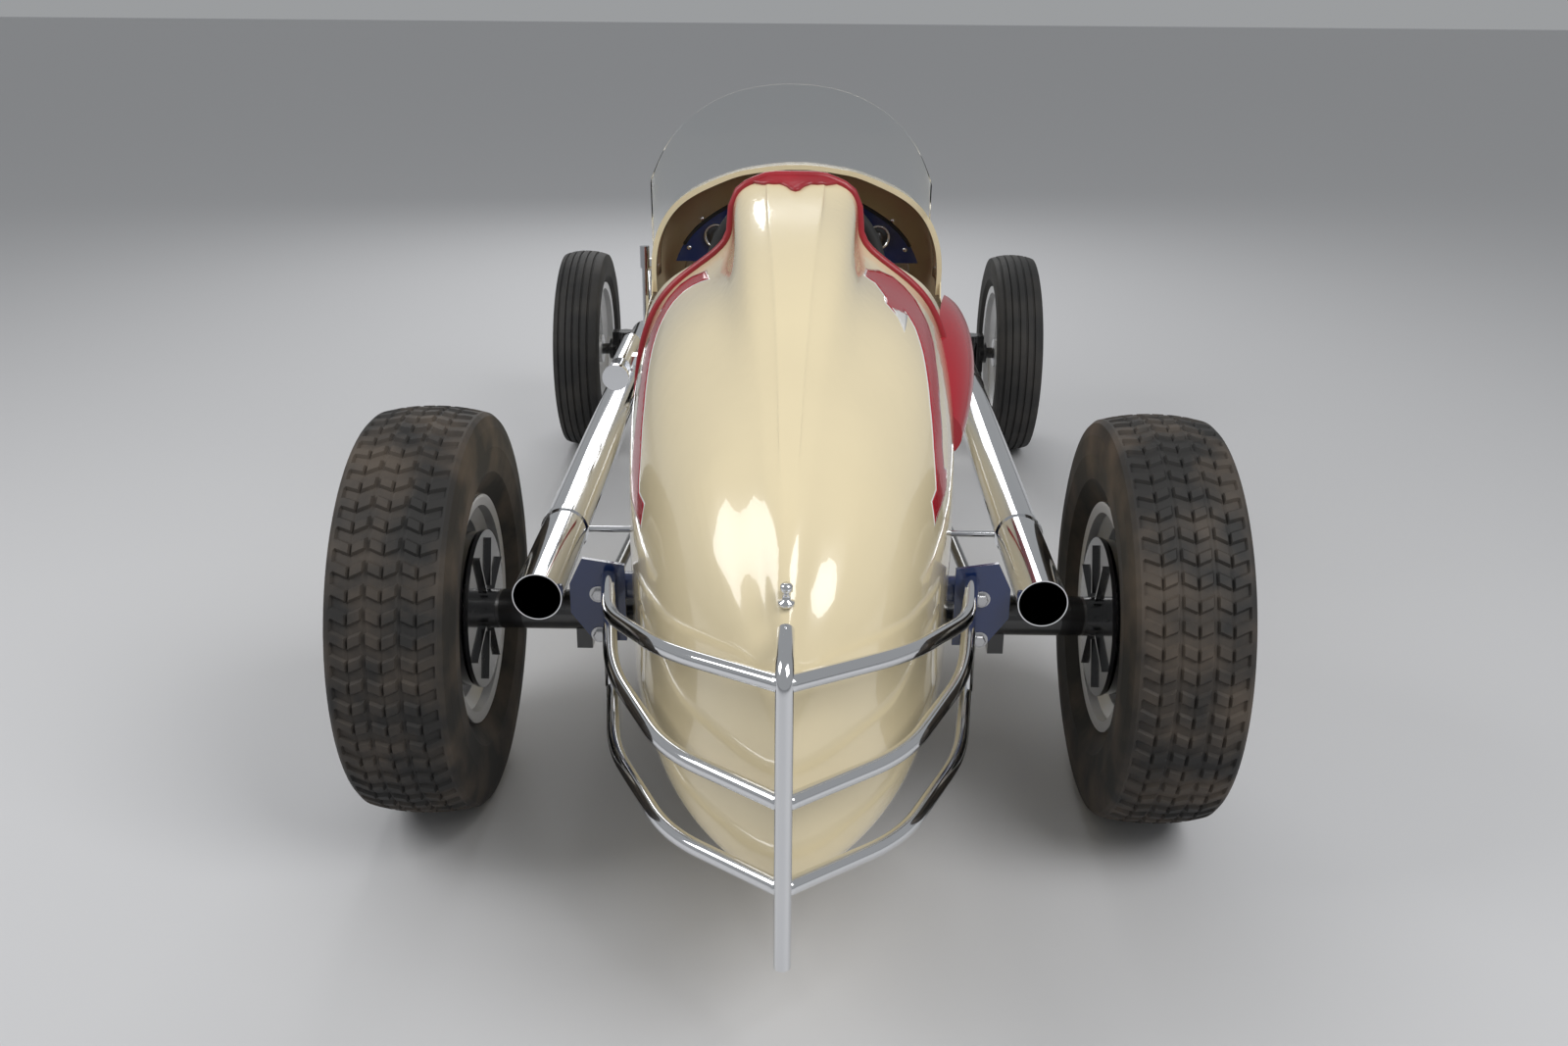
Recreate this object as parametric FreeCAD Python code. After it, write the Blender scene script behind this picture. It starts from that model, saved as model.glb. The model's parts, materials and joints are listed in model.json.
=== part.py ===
import FreeCAD, Part
import math
import os

# Open-wheel sprint car of the 1950s, as an assembly of separate pieces.
# Millimetres.  +Z up, nose towards -Y, the car's left side towards +X,
# origin on the ground under the middle of the overall box.
# Inside the script a place is given as (x, t, z), where t is the distance
# forward of the rear axle; at() turns it into the model's own axes.

# ---- driving dimensions -------------------------------------------------
WHEELBASE = 2157.0
REAR_TRACK = 1356.0
FRONT_TRACK = 1400.0
REAR_OVERHANG = 828.0
FRONT_OVERHANG = 560.0

REAR_TYRE_RADIUS = 388.0
REAR_TYRE_WIDTH = 216.0
FRONT_TYRE_RADIUS = 322.0
FRONT_TYRE_WIDTH = 144.0
RIM_SEAT_RADIUS = 205.0
RIM_FLANGE_RADIUS = 220.0
RIM_WALL = 6.0
HUB_RADIUS = 46.0
WINDOW_COUNT = 8
WINDOW_CIRCLE = 128.0
WINDOW_RADIUS = 27.0
SPINDLE_RADIUS = 18.0

BODY_HALF_WIDTH = 318.0
BODY_BOTTOM = 270.0
PANEL = 3.0
TAIL_FRONT = 330.0
TAIL_REAR = -765.0
TAIL_SHOULDER = 1028.0
RIDGE_HEIGHT = 1165.0
HUMP_HALF_WIDTH = 126.0
PAD_DEPTH = 44.0
PAD_RADIUS = 84.0
PAD_FILLET = 14.0
COWL_REAR = 850.0
COWL_HEIGHT = 1112.0
COWL_HALF_WIDTH = 337.0
CROWN_RISE = 14.0
HOOP_DEPTH = 14.0
HOOP_LIP = 11.0
SILL_HEIGHT = 815.0
BELLY_SPLIT = 300.0
FIREWALL = 1200.0
FIREWALL_HALF_WIDTH = 298.0
FIREWALL_HEIGHT = 985.0
FIREWALL_THICK = 4.0
HOOD_SPLIT = 700.0
HOOD_LOW = 420.0
HOOD_BEHIND_AXLE = 17.0
NOSE_AHEAD_OF_AXLE = 403.0
NOSE_BOTTOM = 395.0
NOSE_HALF_WIDTH = 206.0
NOSE_HEIGHT = 850.0
GRILLE_BARS = 9
GRILLE_BAR_RADIUS = 3.5
DASH_SETBACK = 130.0
DASH_HALF_WIDTH = 315.0
DASH_HEIGHT = 1019.0
DASH_LOW = 862.0
DASH_THICK = 3.0

RAIL_RADIUS = 28.0
RAIL_BEND = 160.0
RAIL_HALF_SPACING = 225.0
RAIL_FRONT_HALF_SPACING = 155.0
RAIL_HEIGHT = 315.0
RAIL_FRONT_HEIGHT = 450.0
RAIL_REAR = -120.0
RAIL_AHEAD_OF_AXLE = 263.0
CROSS_TUBE_RADIUS = 20.0
TORSION_T = -110.0
TORSION_Z = 490.0
TORSION_RADIUS = 26.0

PLATE_T = -150.0
PLATE_INNER = 296.0
PLATE_OUTER = 396.0
PLATE_LOW = 398.0
PLATE_HIGH = 560.0
PLATE_THICK = 8.0
BOLT_X = 345.0
BOLT_HEIGHTS = (410.0, 491.0)
BOLT_HOLE_RADIUS = 5.25

REAR_AXLE_RADIUS = 38.0
DRUM_RADIUS = 148.0
DRUM_WALL = 8.0
BACKING_RADIUS = 152.0
BACKING_THICK = 8.0
BACKING_RIBS = 8
REAR_ROD_RADIUS = 13.0
FRONT_ROD_RADIUS = 12.0
FRONT_AXLE_RADIUS = 28.0
KINGPIN_OFFSET = 125.0
KINGPIN_RADIUS = 12.5
BOSS_RADIUS = 26.0
BOSS_HALF = 36.0
EAR = 24.0
EAR_GAP = 1.0
STEER_ARM = 90.0
TIE_ROD_ARM = 130.0
ARM_THICK = 14.0
EYE_RADIUS = 17.0
PIN_RADIUS = 7.0
ROD_RADIUS = 10.0

PIPE_RADIUS = 44.5
PIPE_WALL = 2.0
PIPE_OFFSET = 448.0
PIPE_HEIGHT = 502.0
PIPE_END = -190.0
PIPE_FRONT = 1650.0
STUB_RADIUS = 21.0
STUB_PITCH = 116.0
STUB_COUNT = 4

BUMPER_RADIUS = 12.7
BUMPER_BEND = 34.0
HOOP_BENDS = (520.0, 330.0, 16.0, 330.0, 520.0)

STEERING_WHEEL_RADIUS = 200.0
STEERING_WHEEL_TUBE = 12.0
WHEEL_T = 640.0
WHEEL_Z = 905.0
COLUMN_TILT = 20.0
COLUMN_RADIUS = 19.0
SHAFT_RADIUS = 12.0
BOX_T = 1100.0
BOX_SIZE = 90.0
PITMAN_X = 352.0
CLEAR = 5.0

ENGINE_HALF_WIDTH = 185.0
ENGINE_LENGTH = 558.0
ENGINE_LOW = 450.0
ENGINE_HIGH = 800.0

SCREEN_HEIGHT = 1284.0
SCREEN_HALF_WIDTH = 328.0
SCREEN_OFFSET = 14.0
SCREEN_THICK = 3.0
SCREEN_LEAN = 0.30

# ---- derived places ------------------------------------------------------
FRONT = WHEELBASE + FRONT_OVERHANG
REAR_AXLE_Y = (FRONT - REAR_OVERHANG) / 2.0
REAR_WHEEL_X = REAR_TRACK / 2.0
FRONT_WHEEL_X = FRONT_TRACK / 2.0
KINGPIN_X = FRONT_WHEEL_X - KINGPIN_OFFSET
HOOD_FRONT = WHEELBASE - HOOD_BEHIND_AXLE
NOSE_FRONT = WHEELBASE + NOSE_AHEAD_OF_AXLE
RAIL_FRONT = WHEELBASE + RAIL_AHEAD_OF_AXLE
BOX_Z = WHEEL_Z - (BOX_T - WHEEL_T) * math.tan(math.radians(COLUMN_TILT))
LINK_X = PITMAN_X + 23.0
KNUCKLE_HALF = BOSS_HALF + EAR_GAP + EAR
UPPER_ARM_TOP = FRONT_TYRE_RADIUS + KNUCKLE_HALF
LOWER_ARM_Z = FRONT_TYRE_RADIUS - KNUCKLE_HALF + EAR / 2.0
WIDE = 600.0
TALL = 1300.0
SIDES = (("left", 1.0), ("right", -1.0))

ACROSS = FreeCAD.Vector(1, 0, 0)
UP = FreeCAD.Vector(0, 0, 1)

parts = {}


def at(x, t, z):
    """A place given by its distance forward of the rear axle."""
    return FreeCAD.Vector(x, REAR_AXLE_Y - t, z)


def add(name, shape):
    """Keep a piece under its node name."""
    parts[name] = shape


def fuse(shapes):
    """One solid from pieces that overlap or share faces."""
    body = shapes[0].multiFuse(shapes[1:]) if len(shapes) > 1 else shapes[0]
    return body.removeSplitter()


def rod(start, end, radius):
    """A round bar between two places."""
    run = end.sub(start)
    return Part.makeCylinder(radius, run.Length, start, run)


def pipe(start, end, radius, wall):
    """A round tube, open at both ends."""
    return rod(start, end, radius).cut(rod(start, end, radius - wall))


def box(low, high):
    """A block between two corners given as (x, t, z)."""
    a = at(*low)
    b = at(*high)
    corner = FreeCAD.Vector(min(a.x, b.x), min(a.y, b.y), min(a.z, b.z))
    return Part.makeBox(abs(b.x - a.x), abs(b.y - a.y), abs(b.z - a.z), corner)


def bend_path(places, radii):
    """Straight runs joined by tangent arcs at the inner places."""
    edges = []
    start = places[0]
    for here, beyond, radius in zip(places[1:-1], places[2:], radii):
        back = here.sub(start).normalize()
        ahead = beyond.sub(here).normalize()
        turn = back.getAngle(ahead)
        reach = radius * math.tan(turn / 2.0)
        entry = here.sub(back * reach)
        leave = here.add(ahead * reach)
        inward = ahead.sub(back).normalize()
        middle = here.add(inward * (radius / math.cos(turn / 2.0) - radius))
        edges.append(Part.LineSegment(start, entry).toShape())
        edges.append(Part.Arc(entry, middle, leave).toShape())
        start = leave
    edges.append(Part.LineSegment(start, places[-1]).toShape())
    return Part.Wire(edges)


def bent_tube(places, radius, bends):
    """A round bar that follows a bent path, with one bend radius per corner."""
    path = bend_path(places, bends)
    run = places[1].sub(places[0])
    ring = Part.Wire(Part.makeCircle(radius, places[0], run))
    return path.makePipeShell([ring], True, False)


def mirrored(shape):
    """The same piece on the other side of the car."""
    return shape.mirror(FreeCAD.Vector(0, 0, 0), ACROSS)


def on_side(shape, side):
    """A piece modelled on the left, put on the side it is for."""
    return shape if side > 0 else mirrored(shape)


def spin(points, centre):
    """A solid turned about the wheel axis from (radius, x) points."""
    places = [FreeCAD.Vector(centre.x + x, centre.y, centre.z + r) for r, x in points]
    face = Part.Face(Part.makePolygon(places + places[:1]))
    return face.revolve(centre, ACROSS, 360.0)


# ---- body sections -------------------------------------------------------
DOME = ((1.00, 0.20), (0.97, 0.52), (0.80, 0.84), (0.48, 0.97))
BELL = ((1.00, 0.10), (0.75, 0.44), (0.50, 0.75), (0.25, 0.95))


def half_outline(width, low, shoulder, hump, hump_width, fullness, domed):
    """Half a body section as (x, z) places, from the bottom to the crown."""
    tall = shoulder - low
    side = 0.50 + 0.12 * fullness
    upper = 0.70 + 0.10 * fullness
    corner = 0.86 + 0.045 * fullness
    places = [
        (0.0, low),
        (0.60 * width, low),
        (0.90 * width, low + 0.045 * tall),
        (width, low + 0.25 * tall),
        (width, low + side * tall),
        (0.955 * width + 0.035 * width * fullness, low + upper * tall),
        (0.80 * width + 0.05 * width * fullness, low + corner * tall),
        (0.56 * width, low + 0.955 * tall + 0.02 * tall * fullness),
    ]
    for (dome_x, dome_z), (bell_x, bell_z) in zip(DOME, BELL):
        x = bell_x + (dome_x - bell_x) * domed
        z = bell_z + (dome_z - bell_z) * domed
        places.append((x * hump_width, shoulder + z * hump))
    return places + [(0.0, shoulder + hump)]


def section_wire(t, outline, creased):
    """A closed section across the body, smooth or creased at the crown."""
    edges = []
    for sign in (1.0, -1.0):
        places = [at(sign * x, t, z) for x, z in outline]
        curve = Part.BSplineCurve()
        if creased:
            curve.interpolate(places)
        else:
            level = FreeCAD.Vector(sign, 0, 0)
            curve.interpolate(Points=places, InitialTangent=level, FinalTangent=level * -1.0)
        edges.append(curve.toShape())
    return Part.Wire(Part.sortEdges(edges)[0])


def body_loft(stations):
    """A solid through body sections, each (t, creased, outline values)."""
    wires = [section_wire(t, half_outline(*values), creased) for t, creased, values in stations]
    return Part.makeLoft(wires, True, False, False)


def smaller(values, wall):
    """Outline values of a section that lies inside another by a wall."""
    width, low, shoulder, hump, hump_width, fullness, domed = values
    return (width - wall, low + wall, shoulder - wall, hump, hump_width, fullness, domed)


def inset(stations, wall):
    """The same stations, smaller by the panel's thickness."""
    return [(t, creased, smaller(values, wall)) for t, creased, values in stations]


def rise(amount):
    """A height above the body's bottom line."""
    return BODY_BOTTOM + amount


# Each station holds: distance forward of the rear axle, creased crown or not,
# and half width, bottom, shoulder height, hump height, hump half width,
# fullness of the upper corner and how domed the hump is.
TAIL_STATIONS = [
    (TAIL_FRONT, False, (BODY_HALF_WIDTH, rise(0), TAIL_SHOULDER, RIDGE_HEIGHT - TAIL_SHOULDER,
                         HUMP_HALF_WIDTH, 0.15, 1.0)),
    (100.0, False, (BODY_HALF_WIDTH - 8, rise(0), 1002.0, 98.0, 118.0, 0.1, 0.7)),
    (-100.0, False, (BODY_HALF_WIDTH - 28, rise(2), 966.0, 64.0, 106.0, 0.05, 0.3)),
    (-300.0, False, (BODY_HALF_WIDTH - 62, rise(6), 905.0, 36.0, 90.0, 0.0, 0.0)),
    (-450.0, False, (213.0, rise(9), 858.0, 22.0, 66.0, 0.0, 0.0)),
    (-590.0, True, (153.0, rise(13), 780.0, 26.0, 44.0, 0.0, 0.0)),
    (-690.0, True, (82.0, rise(20), 684.0, 24.0, 22.0, 0.0, 0.0)),
    (-745.0, True, (28.0, rise(42), 590.0, 14.0, 7.0, 0.0, 0.0)),
    (TAIL_REAR, True, (5.0, rise(80), 530.0, 6.0, 1.8, 0.0, 0.0)),
]

COWL_SECTION = (COWL_HALF_WIDTH, rise(0), COWL_HEIGHT - CROWN_RISE, CROWN_RISE, 120.0, 1.0, 0.0)
FIREWALL_SECTION = (FIREWALL_HALF_WIDTH, rise(0), FIREWALL_HEIGHT, 16.0, 110.0, 0.6, 0.0)
DASH_SECTION = (DASH_HALF_WIDTH, rise(0), DASH_HEIGHT, CROWN_RISE, 110.0, 0.4, 0.0)
TUB_STATIONS = [
    (TAIL_FRONT, False, (BODY_HALF_WIDTH, rise(0), TAIL_SHOULDER, 9.0, 132.0, 0.15, 0.0)),
    (560.0, False, (BODY_HALF_WIDTH + 10, rise(0), 1060.0, CROWN_RISE, 130.0, 0.6, 0.0)),
    (COWL_REAR, False, COWL_SECTION),
    (FIREWALL, False, FIREWALL_SECTION),
]

HOOD_STATIONS = [
    (FIREWALL, False, FIREWALL_SECTION),
    (1650.0, False, (262.0, rise(30), 925.0, 14.0, 96.0, 0.4, 0.0)),
    (HOOD_FRONT, False, (NOSE_HALF_WIDTH, NOSE_BOTTOM - 25, NOSE_HEIGHT, 12.0, 74.0, 0.2, 0.0)),
]

NOSE_STATIONS = [
    (HOOD_FRONT, False, (NOSE_HALF_WIDTH, NOSE_BOTTOM, NOSE_HEIGHT, 12.0, 74.0, 0.2, 0.0)),
    (HOOD_FRONT + 160.0, False, (182.0, NOSE_BOTTOM + 2, 812.0, 11.0, 66.0, 0.1, 0.0)),
    (HOOD_FRONT + 310.0, False, (150.0, NOSE_BOTTOM + 12, 748.0, 10.0, 54.0, 0.0, 0.0)),
    (NOSE_FRONT, False, (112.0, NOSE_BOTTOM + 35, 668.0, 8.0, 40.0, 0.0, 0.0)),
]


# ---- tail ------------------------------------------------------------------
def cross_rod(half_length, t, z, radius):
    """A round bar straight across the car."""
    return rod(at(-half_length, t, z), at(half_length, t, z), radius)


def tail():
    """The boat tail, cut for the axle, its gear case, the rails and the torsion tube."""
    axle_gap = REAR_AXLE_RADIUS + 24.0
    case_half_width = 150.0
    case_top = 545.0
    under = 200.0
    slot = box((-WIDE, -axle_gap, under), (WIDE, axle_gap, REAR_TYRE_RADIUS + 55.0))
    pocket = box((-case_half_width, -170, under), (case_half_width, 175, case_top))
    torsion = cross_rod(WIDE, TORSION_T, TORSION_Z, TORSION_RADIUS + 1.0)
    shell = body_loft(TAIL_STATIONS).cut(slot).cut(pocket).cut(torsion)
    rail_gap = RAIL_RADIUS + 8.0
    for sign in (1, -1):
        x = sign * RAIL_HALF_SPACING
        shell = shell.cut(box((x - rail_gap, RAIL_REAR - 30, under),
                              (x + rail_gap, TAIL_FRONT + 70, RAIL_HEIGHT + rail_gap)))
    add("tail_shell", shell)


def headrest():
    """The pad on the flat front of the headrest."""
    back = TAIL_FRONT + 0.5
    front = back + PAD_DEPTH
    middle = RIDGE_HEIGHT - PAD_RADIUS - 12.0
    pad = rod(at(0, back, middle), at(0, front, middle), PAD_RADIUS)
    pad = fuse([pad, box((-PAD_RADIUS, back, TAIL_SHOULDER + 12), (PAD_RADIUS, front, middle))])
    along = [edge for edge in pad.Edges if edge.BoundBox.YLength < 1.0]
    add("headrest_pad", pad.makeFillet(PAD_FILLET, along))


# ---- cockpit and cowl ------------------------------------------------------
def tub_shell():
    """The sheet round the cockpit, from the tail to the firewall."""
    return body_loft(TUB_STATIONS).cut(body_loft(inset(TUB_STATIONS, PANEL)))


def opening_tool():
    """What is cut away above the cockpit sides, seen from the side."""
    start = at(-WIDE, TAIL_FRONT - 1, TAIL_SHOULDER - 6)
    low = at(-WIDE, TAIL_FRONT + 190, SILL_HEIGHT)
    curve = Part.BezierCurve()
    curve.setPoles([start, at(-WIDE, TAIL_FRONT + 60, TAIL_SHOULDER - 18),
                    at(-WIDE, TAIL_FRONT + 105, SILL_HEIGHT + 25), low])
    places = [low, at(-WIDE, COWL_REAR - 30, SILL_HEIGHT), at(-WIDE, COWL_REAR, SILL_HEIGHT + 30),
              at(-WIDE, COWL_REAR, TALL), at(-WIDE, TAIL_FRONT - 1, TALL), start]
    edges = [curve.toShape()]
    edges += [Part.LineSegment(a, b).toShape() for a, b in zip(places, places[1:])]
    return Part.Face(Part.Wire(edges)).extrude(ACROSS * (2 * WIDE))


def cockpit():
    """The side panels, belly pan and cowl, cut from one tub."""
    shell = tub_shell().cut(opening_tool())
    low_block = box((-WIDE, TAIL_FRONT - 5, 200), (WIDE, FIREWALL + 5, BELLY_SPLIT))
    cowl_block = box((-WIDE, COWL_REAR - 40, SILL_HEIGHT), (WIDE, FIREWALL + 5, TALL))
    sides = shell.cut(low_block).cut(cowl_block)
    shaft_hole = rod(at(0, BOX_T, BOX_Z), at(WIDE, BOX_T, BOX_Z), SHAFT_RADIUS + 8.0)
    for name, sign in SIDES:
        side = sides.common(box((0, TAIL_FRONT - 5, 200), (sign * WIDE, FIREWALL + 5, TALL)))
        add("cockpit_side_" + name, side.cut(shaft_hole))
    add("belly_pan", shell.common(low_block))
    rim_section = smaller(COWL_SECTION, PANEL / 2.0)
    rim = body_loft([(COWL_REAR + d, False, rim_section) for d in (0.0, HOOP_DEPTH)])
    hollow_section = smaller(COWL_SECTION, HOOP_LIP)
    hollow = body_loft([(COWL_REAR + d, False, hollow_section) for d in (-1.0, HOOP_DEPTH + 1.0)])
    hoop = rim.cut(hollow).common(box((-WIDE, COWL_REAR - 5, SILL_HEIGHT), (WIDE, COWL_REAR + 50, TALL)))
    add("cowl", fuse([shell.common(cowl_block), hoop]))
    plate = inner_plate(FIREWALL - FIREWALL_THICK, FIREWALL_THICK, smaller(FIREWALL_SECTION, PANEL + 0.5))
    add("firewall", plate.cut(rail_clearance(RAIL_HALF_SPACING, FIREWALL - 50, FIREWALL + 50, RAIL_HEIGHT)))


def inner_plate(t, thick, values):
    """A flat plate with a body section's outline."""
    face = Part.Face(section_wire(t, half_outline(*values), False))
    return face.extrude(FreeCAD.Vector(0, -thick, 0))


def rail_clearance(x, start, stop, height):
    """Bores round the two frame rails."""
    gap = RAIL_RADIUS + 4.0
    return Part.makeCompound([rod(at(s * x, start, height), at(s * x, stop, height), gap) for s in (1, -1)])


def dashboard():
    """The plate across the cowl, with the column's hole."""
    t = COWL_REAR + DASH_SETBACK
    plate = inner_plate(t, DASH_THICK, DASH_SECTION)
    plate = plate.common(box((-WIDE, t - 5, DASH_LOW), (WIDE, t + 10, TALL)))
    axis_low, axis_high = column_ends()
    add("dashboard", plate.cut(rod(axis_low, axis_high, COLUMN_RADIUS + 8.0)))


# ---- steering wheel and column ----------------------------------------------
def column_ends():
    """The steering box's end and the wheel's end of the column."""
    return at(0, BOX_T, BOX_Z), at(0, WHEEL_T, WHEEL_Z)


def steering():
    """The column with its gear box, the hand wheel with its shaft, and the pitman arm."""
    box_end, wheel_end = column_ends()
    axis = wheel_end.sub(box_end).normalize()
    column = pipe(box_end.add(axis * 40), wheel_end.sub(axis * 34), COLUMN_RADIUS, 4.0)
    half = BOX_SIZE / 2.0
    gear_box = box((-half, BOX_T - half, BOX_Z - 42), (half, BOX_T + half, BOX_Z + 42))
    gear_box = gear_box.cut(rod(box_end, wheel_end, SHAFT_RADIUS + 4.0))
    gear_box = gear_box.cut(rod(at(0, BOX_T, BOX_Z), at(BOX_SIZE, BOX_T, BOX_Z), SHAFT_RADIUS + 2.0))
    add("steering_column", fuse([column, gear_box]))

    rim = Part.makeTorus(STEERING_WHEEL_RADIUS - STEERING_WHEEL_TUBE, STEERING_WHEEL_TUBE, wheel_end, axis)
    hub = rod(wheel_end.sub(axis * 28), wheel_end.add(axis * 6), 32.0)
    shaft = rod(box_end.add(axis * 20), wheel_end, SHAFT_RADIUS)
    upward = axis.cross(ACROSS).normalize()
    spokes = []
    for quarter in range(4):
        angle = math.radians(90 * quarter)
        out = ACROSS * math.cos(angle) + upward * math.sin(angle)
        end = wheel_end.sub(axis * 2).add(out * (STEERING_WHEEL_RADIUS - STEERING_WHEEL_TUBE))
        spokes.append(rod(wheel_end.sub(axis * 8), end, 7.0))
    add("steering_wheel", fuse([rim, hub, shaft] + spokes))

    half = ARM_THICK / 2.0
    inner = PITMAN_X - half
    outer = PITMAN_X + half
    top = BOX_Z + STEER_ARM
    shaft_across = rod(at(20, BOX_T, BOX_Z), at(PITMAN_X, BOX_T, BOX_Z), SHAFT_RADIUS - 1.0)
    arm = box((inner, BOX_T - 15, BOX_Z - 10), (outer, BOX_T + 15, top + 10))
    eye_low = rod(at(inner, BOX_T, BOX_Z), at(outer, BOX_T, BOX_Z), 22.0)
    eye_high = rod(at(inner, BOX_T, top), at(outer, BOX_T, top), EYE_RADIUS)
    pin = rod(at(PITMAN_X, BOX_T, top), at(LINK_X + 13, BOX_T, top), PIN_RADIUS)
    add("pitman_arm", fuse([shaft_across, arm, eye_low, eye_high, pin]))


def drag_link():
    """The fore-and-aft link from the pitman arm to the left knuckle."""
    rear = at(LINK_X, BOX_T, BOX_Z + STEER_ARM)
    front = at(KINGPIN_X - STEER_ARM, WHEELBASE, UPPER_ARM_TOP + CLEAR + 12.0)
    rear_eye = rod(rear.sub(ACROSS * 9), rear.add(ACROSS * 9), EYE_RADIUS - 1.0)
    front_eye = rod(front.sub(UP * 9), front.add(UP * 9), EYE_RADIUS)
    link = fuse([rear_eye, front_eye, rod(rear, front, ROD_RADIUS)])
    add("drag_link", link.cut(rod(rear.sub(ACROSS * 30), rear.add(ACROSS * 30), PIN_RADIUS + 0.5)))


# ---- frame -------------------------------------------------------------------
def frame():
    """Two bent rails and the tubes that join them."""
    for name, sign in SIDES:
        x = sign * RAIL_HALF_SPACING
        front_x = sign * RAIL_FRONT_HALF_SPACING
        places = [
            at(x, RAIL_REAR, RAIL_HEIGHT),
            at(x, WHEELBASE - 657, RAIL_HEIGHT),
            at(front_x, WHEELBASE - 227, RAIL_FRONT_HEIGHT),
            at(front_x, RAIL_FRONT, RAIL_FRONT_HEIGHT),
        ]
        add("frame_rail_" + name, bent_tube(places, RAIL_RADIUS, [RAIL_BEND] * 2))
    rear_half = RAIL_HALF_SPACING - RAIL_RADIUS + 0.5
    front_half = RAIL_FRONT_HALF_SPACING - RAIL_RADIUS + 0.5
    bars = [
        cross_rod(rear_half, TAIL_FRONT + 42, RAIL_HEIGHT, CROSS_TUBE_RADIUS),
        cross_rod(rear_half, FIREWALL - 50, RAIL_HEIGHT, CROSS_TUBE_RADIUS),
        cross_rod(front_half, WHEELBASE - 197, RAIL_FRONT_HEIGHT, CROSS_TUBE_RADIUS),
        cross_rod(front_half, RAIL_FRONT - 40, RAIL_FRONT_HEIGHT, CROSS_TUBE_RADIUS),
        cross_rod(PLATE_INNER + 60, TORSION_T, TORSION_Z, TORSION_RADIUS),
    ]
    rails = parts["frame_rail_left"].fuse(parts["frame_rail_right"])
    add("frame_cross_tubes", Part.makeCompound([bar.cut(rails) for bar in bars]))


def largest(shape):
    """The biggest solid of a shape that a cut has split."""
    return max(shape.Solids, key=lambda solid: solid.Volume)


def rear_plates():
    """Upright plates that carry the bumper's ends, with two bolt holes each."""
    plates = []
    torsion = cross_rod(WIDE, TORSION_T, TORSION_Z, TORSION_RADIUS)
    for name, sign in SIDES:
        outline = [
            (PLATE_INNER, PLATE_HIGH - 12),
            (PLATE_OUTER - 24, PLATE_HIGH),
            (PLATE_OUTER, PLATE_HIGH - 50),
            (PLATE_OUTER, PLATE_LOW + 55),
            (PLATE_OUTER - 40, PLATE_LOW),
            (PLATE_INNER, PLATE_LOW),
        ]
        places = [at(sign * x, PLATE_T, z) for x, z in outline]
        face = Part.Face(Part.makePolygon(places + places[:1]))
        plate = face.extrude(FreeCAD.Vector(0, -PLATE_THICK, 0))
        flange = box((sign * (PLATE_INNER + 20), PLATE_T, PLATE_LOW + 60),
                     (sign * (PLATE_OUTER - 4), TORSION_T + 20, PLATE_LOW + 68))
        bracket = fuse([plate, flange]).cut(torsion).cut(parts["tail_shell"])
        for z in BOLT_HEIGHTS:
            x = sign * BOLT_X
            bracket = bracket.cut(rod(at(x, PLATE_T - 5, z), at(x, PLATE_T + 20, z), BOLT_HOLE_RADIUS))
        plates.append(largest(bracket))
    add("rear_plates", Part.makeCompound(plates))


# ---- rear axle -----------------------------------------------------------------
def rear_axle():
    """The axle tube with its gear case and the backing plates of the brakes."""
    z = REAR_TYRE_RADIUS
    end = REAR_WHEEL_X - 84.0
    face = end - BACKING_THICK
    bore_radius = 24.0
    case = Part.makeSphere(118.0, at(0, 0, z))
    cover = rod(at(0, -150, z), at(0, 150, z), 70.0)
    pieces = [case, cover, cross_rod(end, 0, z, REAR_AXLE_RADIUS)]
    for name, sign in SIDES:
        pieces.append(rod(at(sign * face, 0, z), at(sign * end, 0, z), BACKING_RADIUS))
        for number in range(BACKING_RIBS):
            rib = box((face - 8, -2.5, z + 44), (face, 2.5, z + 136))
            rib.rotate(at(0, 0, z), ACROSS, 360.0 * (number + 0.5) / BACKING_RIBS)
            pieces.append(on_side(rib, sign))
    shell = fuse(pieces)
    for sign in (1, -1):
        shell = shell.cut(rod(at(sign * (end - 120), 0, z), at(sign * (end + 5), 0, z), bore_radius))
    add("rear_axle", shell)


def rear_radius_rods():
    """The rods that carry the rear axle from the frame."""
    z = REAR_TYRE_RADIUS
    arms = []
    axle = cross_rod(REAR_WHEEL_X, 0, z, REAR_AXLE_RADIUS)
    for name, sign in SIDES:
        front_t = 760.0
        bar = rod(at(sign * 395, 20, z - 58), at(sign * 352, front_t, RAIL_HEIGHT), REAR_ROD_RADIUS)
        rear_clamp = box((sign * 380, -22, z - 72), (sign * 410, 34, z - REAR_AXLE_RADIUS + 8))
        front_clamp = rod(at(sign * (RAIL_HALF_SPACING + 33), front_t, RAIL_HEIGHT),
                          at(sign * 362, front_t, RAIL_HEIGHT), REAR_ROD_RADIUS + 3.0)
        arm = fuse([bar, rear_clamp, front_clamp]).cut(axle)
        arm = arm.cut(parts["cockpit_side_" + name]).cut(parts["belly_pan"])
        arms.append(largest(arm))
    add("rear_radius_rods", Part.makeCompound(arms))


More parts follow.
